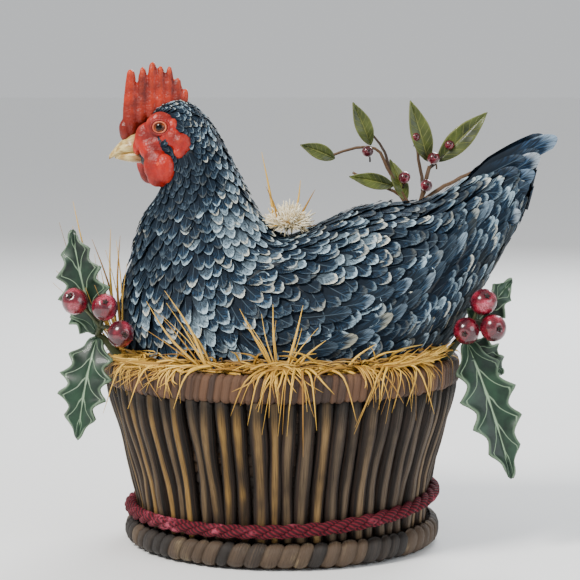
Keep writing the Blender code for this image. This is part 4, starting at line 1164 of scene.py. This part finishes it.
def grid_leaf(name, base, tip, half_width, outline, up, material, cup, wave, rows=49, columns=17,
              thickness=0.7, arch=2.0):
    """A leaf as a fine grid from base to tip: folded at the midrib, puckered along its edge."""
    base, tip = np.array(base, dtype=float), np.array(tip, dtype=float)
    length = np.linalg.norm(tip - base)
    axis = (tip - base) / length
    side = unit(np.cross(axis, up))
    up = np.cross(side, axis)
    points, uv = [], []
    for row in range(rows):
        part = row / (rows - 1)
        half = half_width * outline(part) + 0.25 * (1 - part)
        swell = math.sin(math.pi * part)
        for column in range(columns):
            across = column / (columns - 1) * 2 - 1
            lift = arch * swell + cup * half_width * abs(across) ** 1.3 * swell
            lift += wave * math.sin(part * 21 + (2.2 if across > 0 else 0)) * abs(across) ** 2.2
            lift -= 0.35 * math.exp(-(across / 0.08) ** 2)
            points.append(base + axis * length * part + side * across * half + up * lift)
            uv.append(((across + 1) / 2, part))
    faces = grid_faces(rows, columns)
    piece = mesh_piece(name, points, faces, material, "basket", uv=uv, slot="holly_leaf")
    solid = piece.modifiers.new("thickness", "SOLIDIFY")
    solid.thickness = thickness * MM
    solid.offset = 0.0
    apply_modifiers(piece)


def berry(name, centre, radius, material, eye_direction, rows=20, columns=28):
    """A holly berry: not quite round, with a small dimpled eye at its far end."""
    pole = Vector(eye_direction).normalized()
    turn = pole.to_track_quat("Z", "Y").to_matrix()
    wobble = random.uniform(0, TAU)
    points = []
    for row in range(rows + 1):
        polar = math.pi * row / rows
        dimple = 1 - 0.2 * math.exp(-(polar / 0.2) ** 2)
        for column in range(columns):
            around = TAU * column / columns
            size = radius * dimple * (1 + 0.025 * math.sin(2 * around + wobble) * math.sin(polar))
            spot = Vector(round_axis(math.sin(polar), around, math.cos(polar)))
            points.append(tuple(Vector(centre) + turn @ (spot * size)))
    faces = grid_faces(rows + 1, columns, around=True, flip=True)
    mesh_piece(name, points, faces, material, "basket", slot="berry")
    calyx = Strands()
    for tooth in range(5):
        around = TAU * tooth / 5
        out = turn @ Vector((math.cos(around), math.sin(around), 0.0))
        start = Vector(centre) + pole * radius * 0.84
        tip = start + out * radius * 0.26 + pole * radius * 0.14
        calyx.tube([tuple(start), tuple((start + tip) / 2 + pole * radius * 0.05), tuple(tip)],
                   [radius * 0.09, radius * 0.07, radius * 0.02], sides=5)
    dark = streaked_material(name + "_eye", "#100806", "#33201a", "#5a4234")
    calyx.piece(name + "_eye", dark, "basket", slot="berry")


def make_holly():
    leaf = leaf_material("holly_leaf", "#0b1a13", "#203d2a", "#93ad8d")
    red = berry_material("holly_berry", "#3c0714", "#8a1428", "#c25a70")
    bark = streaked_material("holly_stem", "#1d2214", "#48502c", "#7f8450", bump=0.6)
    leaves = {
        "left_upper": ((-52, -17, 62), (-59, -15, 91), 7.8, (-0.25, -1, 0.1)),
        "left_lower": ((-52, -17.5, 61), (-57, -24, 33), 8.2, (-0.3, -1, 0.0)),
        "left_back": ((-51, -15.5, 62), (-60.5, -11.5, 73), 5.2, (-0.4, -1, 0.3)),
        "right_lower": ((52, -17.5, 60), (64.5, -24, 22), 8.6, (0.3, -1, 0.0)),
        "right_upper": ((52, -17, 62), (65, -12.5, 77), 5.2, (0.3, -1, 0.2)),
        "right_back": ((52, -16.5, 60), (62.5, -13.5, 50), 5.2, (0.4, -1, 0.1)),
    }
    for name, (base, tip, width, up) in leaves.items():
        spines = 5 if width > 6 else 4
        grid_leaf("holly_leaf_" + name, base, tip, width, lambda part, n=spines: holly_outline(part, n),
                  up, leaf, cup=0.16, wave=0.7)
    berries = {
        "left_1": (-57.7, -22, 71.6), "left_2": (-49.3, -23, 70), "left_3": (-44.8, -24.5, 62.7),
        "right_1": (56.2, -23, 71.5), "right_2": (51.4, -24, 63.5), "right_3": (58.8, -24.5, 64.4),
    }
    stems = Strands()
    for name, centre in berries.items():
        hub = np.array((-51, -19.6, 64.2) if "left" in name else (53.6, -20.8, 66))
        place = np.array(centre, dtype=float)
        away = unit(place - hub)
        berry("holly_berry_" + name, centre, 3.75, red, tuple(away * 0.6 + np.array((0, -0.75, 0.15))))
        stems.tube(smooth_path([hub, (hub + place) / 2 + (0, 1.2, 0.6), place], 6), 0.55, sides=7)
    for side in (-1, 1):
        foot, hub = np.array((side * 46.8, -15.5, 55.9)), np.array((side * 52.0, -17.0, 61.5))
        berry_hub = np.array((-51, -19.6, 64.2)) if side < 0 else np.array((53.6, -20.8, 66))
        stems.tube(smooth_path([foot - (side * 3, 0, 2), foot, (foot + hub) / 2 + (0, 0, 0.8), hub], 10),
                   np.linspace(1.3, 1.0, 10), sides=9)
        stems.tube(smooth_path([hub, berry_hub], 4), 0.8, sides=7)
    stems.piece("holly_stems", bark, "basket", slot="holly_leaf")
    for node in ("holly_leaves_left", "holly_leaves_right"):
        side = "left" if "left" in node else "right"
        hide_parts(node)
        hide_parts(node.replace("leaves", "berries"))


def willow_outline(part):
    return math.sin(math.pi * min(part, 1.0) ** 0.85) ** 0.9


TWIG_STEMS = [
    ([(33, 35.5, 56), (37.5, 37.5, 72), (41, 39, 90), (45, 39, 107)], 1.05, 0.6),
    ([(41, 39, 91), (33, 39, 105), (27, 39, 113), (12, 39, 109.2)], 0.62, 0.38),
    ([(39.7, 38.6, 85), (36.9, 39, 97), (29, 39, 101.5), (21.5, 39, 105)], 0.6, 0.38),
    ([(33, 39, 104.8), (31, 39, 112), (25.5, 39, 118.5)], 0.5, 0.32),
    ([(43.2, 39, 99.6), (41.5, 39, 110), (39.8, 39, 121)], 0.6, 0.35),
    ([(44.6, 39, 106), (52, 39, 113), (58.5, 39, 118.8)], 0.6, 0.38),
    ([(42.5, 39, 96), (49, 39, 100.5), (58.5, 39, 105.5)], 0.75, 0.5),
]
TWIG_LEAVES = [
    ((27.0, 39, 113.5), (21.5, 38, 126.5), 2.5), ((16.0, 39, 109.4), (5.5, 38, 113.6), 2.3),
    ((34.0, 39, 101.0), (20.5, 38, 103.9), 2.3), ((44.6, 39, 108.5), (39.0, 38, 127.0), 3.1),
    ((47.5, 39, 108.5), (62.5, 38, 123.5), 3.3), ((38.0, 39, 96.5), (33.0, 41, 109.0), 2.2),
]
TWIG_BERRIES = [
    ((26.0, 37.5, 111.5), 1.75), ((37.3, 37.3, 103.6), 1.9), ((46.2, 37.2, 109.5), 1.9),
    ((44.0, 37.3, 101.2), 1.9), ((51.0, 37.6, 113.6), 1.5), ((40.6, 37.5, 116.0), 1.45),
]


def make_twig():
    stems = Strands()
    for points, thick, thin in TWIG_STEMS:
        path = smooth_path(points, 14)
        path += rng.normal(0, 0.09, path.shape)
        stems.tube(path, np.linspace(thick, thin, 14), sides=8)
    for centre, radius in TWIG_BERRIES:
        place = np.array(centre)
        root = place + (random.uniform(-1.6, 1.6), 1.5, -radius - 1.4)
        stems.tube(smooth_path([root, (root + place) / 2 + (0.3, 0, 0), place], 5), 0.3, sides=6)
    bark = streaked_material("twig_bark", "#2b1d12", "#5d4226", "#8d6d42", bump=0.8)
    stems.piece("twig_stems", bark, "basket", slot="holly_leaf", replaces=("berry_twig",))
    green = leaf_material("willow_leaf", "#232c10", "#555f26", "#8a8c4c", ribs=8.0)
    for index, (base, tip, width) in enumerate(TWIG_LEAVES):
        grid_leaf("twig_leaf_%d" % (index + 1), base, tip, width, willow_outline, (0.1, -1, 0.2), green,
                  cup=0.25, wave=0.15, rows=29, columns=13, thickness=0.45, arch=1.0)
    red = berry_material("twig_berry", "#3a0812", "#7d1526", "#b8566a")
    for index, (centre, radius) in enumerate(TWIG_BERRIES):
        berry("twig_berry_%d" % (index + 1), centre, radius, red, (0.2, -1, 0.3), rows=14, columns=20)


# ---------------------------------------------------------------- head

def fleshy(name, blobs, material, voxel, relax, replaces, ripple):
    """Ellipsoids, as centre, radii and turn about Y, fused into one relaxed and rippled skin."""
    bm = bmesh.new()
    for centre, radii, turn in blobs:
        place = Matrix.Translation(Vector(np.array(centre) * MM)) @ Matrix.Rotation(turn, 4, "Y")
        place = place @ Matrix.Diagonal((*(np.array(radii) * MM), 1.0))
        bmesh.ops.create_uvsphere(bm, u_segments=20, v_segments=14, radius=1.0, matrix=place)
    mesh = bpy.data.meshes.new(name)
    bm.to_mesh(mesh)
    bm.free()
    piece = bpy.data.objects.new(name, mesh)
    bpy.context.scene.collection.objects.link(piece)
    remesh = piece.modifiers.new("skin", "REMESH")
    remesh.mode = "VOXEL"
    remesh.voxel_size = voxel * MM
    smooth = piece.modifiers.new("relax", "SMOOTH")
    smooth.factor = 0.6
    smooth.iterations = relax
    apply_modifiers(piece)
    points = np.array([v.co[:] for v in piece.data.vertices]) / MM
    normals = np.array([v.normal[:] for v in piece.data.vertices])
    height = (ridge_noise(points, 0.75) - 0.5) * ripple + (ridge_noise(points + 30, 2.2) - 0.5) * ripple
    piece.data.vertices.foreach_set("co", ((points + normals * height[:, None]) * MM).ravel())
    piece.data.materials.clear()
    piece.data.materials.append(material)
    finish_piece(piece, "hen", replaces)


# Fingers of the comb: foot (x, z), tip (x, z), thickness at foot and tip
COMB_FINGERS = [
    ((-43.4, 120.5), (-43.3, 134.4), 2.5, 1.25), ((-40.4, 122.0), (-39.9, 135.2), 2.0, 0.95),
    ((-37.4, 123.5), (-37.1, 136.5), 2.0, 1.0), ((-34.6, 125.0), (-34.7, 135.4), 1.9, 0.95),
    ((-32.2, 126.0), (-32.2, 135.4), 1.8, 0.85), ((-30.2, 126.4), (-29.9, 131.9), 1.8, 1.1),
    ((-28.6, 126.2), (-27.6, 128.9), 1.4, 0.7),
]


def make_comb(material):
    """Seven thick fingers that stay fused for most of their height, over a root that runs to the beak."""
    blobs = [((-44.9, 0, 118.6), (1.9, 1.75, 3.4), -0.1), ((-43.2, 0, 121.0), (2.5, 1.8, 4.4), 0.0)]
    for (foot_x, foot_z), (tip_x, tip_z), thick, thin in COMB_FINGERS:
        for step in range(13):
            part = step / 12
            size = thick + (thin - thick) * part ** 1.8
            place = (foot_x + (tip_x - foot_x) * part, 0, foot_z + (tip_z - foot_z) * part)
            blobs.append((place, (size, 1.0 + 0.35 * size * (1 - part), 1.8), 0.0))
    fleshy("comb_flesh", blobs, material, 0.33, 4, ("comb",), ripple=0.2)


def make_face(material):
    """Bare red skin round each eye, the lore, the ear lobe and the wattle, as one soft form a side."""
    for side, name in ((-1, "left"), (1, "right")):
        y = side * 8.6
        forward = 0.0 if side < 0 else -3.3
        blobs = [
            ((-34.3, side * 7.3, 119.8), (4.5, 2.1, 4.3), 0.0),
            ((-31.2, side * 8.6, 119.0), (2.0, 1.6, 3.4), 0.2),
            ((-38.2, side * 5.8, 117.2), (3.6, 2.3, 4.6), 0.5),
            ((-40.4, side * 3.4, 115.6), (2.0, 1.9, 4.0), 0.35),
            ((-34.6, side * 7.8, 114.4), (4.4, 1.9, 3.0), 0.0),
            ((-30.4, side * 9.4, 116.4), (3.2, 2.1, 3.0), 0.5),
            ((-28.3, side * 10.1, 115.0), (3.2, 2.2, 3.3), -0.2),
            ((-28.9, side * 10.4, 112.6), (2.3, 1.9, 2.3), 0.0),
            ((-32.6, side * 8.4, 116.6), (2.6, 2.0, 2.6), 0.0),
            ((-32.9 + forward, side * (11.1 + 0.65 * forward), 108.2), (2.8, 2.0, 4.3), -0.1),
            ((-38.0 + forward * 0.3, y * 0.78, 113.6), (2.6, 2.2, 3.4), -0.3),
            ((-36.2 + forward, y * 0.9, 111.6), (3.2, 2.3, 3.8), -0.3),
            ((-34.9 + forward, y * 1.08, 108.6), (4.3, 2.6, 4.8), -0.2),
            ((-34.6 + forward, y * 1.1, 106.2), (3.8, 2.4, 3.4), -0.1),
        ]
        node = "face_patch_" + name
        fleshy("face_" + name, blobs, material, 0.36, 5, (node, "wattle_" + name), ripple=0.2)


def make_eyes(material):
    iris = Shading("hen_eye")
    ring = iris.split(iris.uv())[1]
    cloud = iris.noise(iris.position(), 900.0, 3.0)
    colour = iris.mix(iris.range(ring, 0.12, 0.15), "#030303", "#3c1608")
    brown = iris.times(iris.range(ring, 0.15, 0.26), iris.range(cloud, 0.4, 0.6))
    colour = iris.mix(brown, colour, "#8a4418")
    colour = iris.mix(iris.range(ring, 0.31, 0.36), colour, "#160f0d")
    iris.set(Base_Color=colour, Roughness=0.14, Specular_IOR_Level=0.2, Coat_Weight=0.12,
             Coat_Roughness=0.03)
    iris.bump(cloud, 0.05, 0.05)
    lid = flesh_material("eyelid", "#a8462e", "#d98462", "#efb997")
    rims, folds = Strands(), Strands()
    for side, name in ((-1, "left"), (1, "right")):
        centre = np.array((-34.4, side * 8.9, 119.7))
        outward = unit(np.array((-0.16, side * 1.0, 0.08)))
        across = unit(np.cross(outward, (0, 0, 1.0)))
        up = np.cross(across, outward)
        points, uv = [], []
        rows, columns = 16, 28
        for row in range(rows + 1):
            polar = math.pi * row / rows
            for column in range(columns):
                around = TAU * column / columns
                spot = outward * math.cos(polar) * 0.95
                spot = spot + (across * math.cos(around) + up * math.sin(around)) * math.sin(polar)
                points.append(centre + spot * 1.95)
                uv.append((column / columns, row / rows))
        faces = grid_faces(rows + 1, columns, around=True, flip=True)
        mesh_piece("eyeball_" + name, points, faces, iris.material, "hen", uv=uv, slot="eye",
                   replaces=("eye_" + name,))
        for width, out, thick, lids in ((1.75, 1.0, 0.27, rims), (2.45, 0.5, 0.5, folds)):
            path = []
            for step in range(36):
                around = TAU * step / 36
                shape = 1.0 - 0.16 * abs(math.sin(around))
                ring = across * math.cos(around) * 1.05 + up * math.sin(around) * shape
                path.append(centre + outward * out + ring * width)
            lids.tube(path, thick, sides=8, closed=True)
    rims.piece("eyelids", lid, "hen", slot="comb_red")
    folds.piece("eye_folds", material, "hen", slot="comb_red")


def make_beak():
    """Two horny mandibles with a nostril on each side and a line where they meet."""
    m = Shading("beak_horn")
    forward = m.split(m.position())[0]
    grain = m.noise(m.position((300.0, 900.0, 900.0)), 1.0, 4.0)
    cloud = m.noise(m.position(), 260.0, 4.0)
    colour = m.mix(m.range(grain, 0.35, 0.65), "#9c7a3c", "#d6c184")
    colour = m.mix(m.range(forward, -0.0445, -0.0405), colour, "#8a5a30")
    colour = m.mix(m.times(m.range(cloud, 0.55, 0.7), 0.6), colour, "#6d4a2a")
    m.set(Base_Color=colour, Roughness=m.range(grain, 0.3, 0.7, 0.28, 0.42))
    m.bump(grain, 0.3, 0.12)
    for name, upper in (("beak_upper", True), ("beak_lower", False)):
        points = []
        rows, columns = 22, 24
        for row in range(rows):
            part = row / (rows - 1)
            x = -40.4 - (9.3 if upper else 7.6) * part
            if upper:
                top = 118.5 - 1.2 * part - 5.7 * part ** 2.2
                low = 112.3 - 0.9 * part - 1.0 * part ** 4
            else:
                top = 113.2 - 0.95 * part
                low = 109.4 + 1.3 * part ** 2.2
            half_y = (3.3 if upper else 2.8) * (1 - part ** 2.2) + 0.3
            middle, half_z = (top + low) / 2, max((top - low) / 2, 0.3)
            for column in range(columns):
                around = TAU * column / columns
                y, z = math.sin(around), math.cos(around)
                square = (abs(y) ** 2.3 + abs(z) ** 2.3) ** (-1 / 2.3)
                y, z = y * square, z * square
                if upper and z > 0:
                    y *= 1 - 0.55 * z
                spot = np.array((x, y * half_y, middle + z * half_z))
                dent = math.exp(-((spot[0] + 43.4) / 0.95) ** 2 - ((spot[2] - 115.1) / 0.5) ** 2)
                if upper:
                    spot[1] -= math.copysign(0.65, spot[1]) * dent * (abs(spot[1]) > 0.8)
                points.append(spot)
        faces = grid_faces(rows, columns, around=True)
        faces.append(tuple(range(columns)))
        faces.append(tuple(reversed(range((rows - 1) * columns, rows * columns))))
        mesh_piece(name + "_horn", points, faces, m.material, "hen", slot="beak_ivory", replaces=(name,))
        piece = bpy.data.objects[name + "_horn"]
        smooth = piece.modifiers.new("round", "SUBSURF")
        smooth.levels = smooth.render_levels = 1
        apply_modifiers(piece)


# ---------------------------------------------------------------- materials of the carried nodes

def paint_nodes():
    """Better materials on the CAD nodes that stay."""
    tin = metal_material("frame_tin", "#8d9296", "#6f7478", 0.26)
    brass = metal_material("clock_brass", "#b08328", "#76551c", 0.26, grain=(700.0, 40.0, 700.0))
    key = metal_material("key_brass", "#a8741a", "#6e4c14", 0.3)
    steel = metal_material("axle_steel", "#8b8f94", "#5c6268", 0.2)
    blue = metal_material("spring_blue", "#27304a", "#4d4a63", 0.22)
    shell = painted_material("slate_shell", "#080d12", "#141d26", 0.6)
    yellow = scale_material()
    belly = painted_material("belly_tin", "#39424a", "#5d666c", 0.4)
    # The first row with a word that is in the node's name gives its material.
    rules = (
        (tin, ("frame_plate",)),
        (blue, ("mainspring", "click_spring")),
        (key, ("winding_key", "key_escutcheon")),
        (steel, ("click", "winding_arbor", "ratchet_wheel")),
        (yellow, ("leg_", "foot_")),
        (belly, ("belly_plate",)),
        (streaked_floor(), ("basket_floor",)),
        (shell, ("body_shell", "wing", "tail")),
        (steel, ("arbor", "axle", "pillar", "disc")),
        (brass, ("wheel", "gear")),
    )
    for name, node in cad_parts.items():
        material = next((paint for paint, words in rules if any(word in name for word in words)), shell)
        node.data.materials.clear()
        node.data.materials.append(material)


def scale_material():
    m = Shading("scaly_foot")
    cells = m.node("TexVoronoi", {"Vector": m.position(), "Scale": 1100.0}, feature="DISTANCE_TO_EDGE")
    cloud = m.noise(m.position(), 150.0, 4.0)
    edge = m.range(cells.outputs["Distance"], 0.0, 0.12)
    colour = m.mix(m.range(cloud, 0.35, 0.65), "#b9862c", "#dcb25a")
    colour = m.mix(edge, "#7a5318", colour)
    m.set(Base_Color=colour, Roughness=0.42)
    m.bump(edge, 0.4, 0.15)
    return m.material


def streaked_floor():
    m = Shading("floor_board")
    grain = m.noise(m.position((60.0, 500.0, 60.0)), 3.0, 6.0)
    cloud = m.noise(m.position(), 60.0, 3.0)
    colour = m.mix(m.range(grain, 0.35, 0.65), "#2c1c10", "#5d4025")
    colour = m.mix(m.times(m.range(cloud, 0.45, 0.7), 0.5), colour, "#7b5a35")
    m.set(Base_Color=colour, Roughness=0.7)
    m.bump(grain, 0.5, 0.3)
    return m.material


make_camera()
make_studio()
paint_nodes()
make_feathers()
make_flight_feathers()
make_tail_feathers()
make_reeds()
make_lining()
make_rim_and_foot()
make_floor_weave()
make_rope()
make_straw()
make_holly()
make_twig()
red_flesh = flesh_material("red_flesh", "#640c07", "#a0160b", "#cf4426")
# root is the painted shade colour at the comb's root.
make_comb(flesh_material("comb_flesh", "#520b05", "#9f2409", "#c9461b", root="#4a0905"))
make_face(red_flesh)
make_eyes(red_flesh)
make_beak()
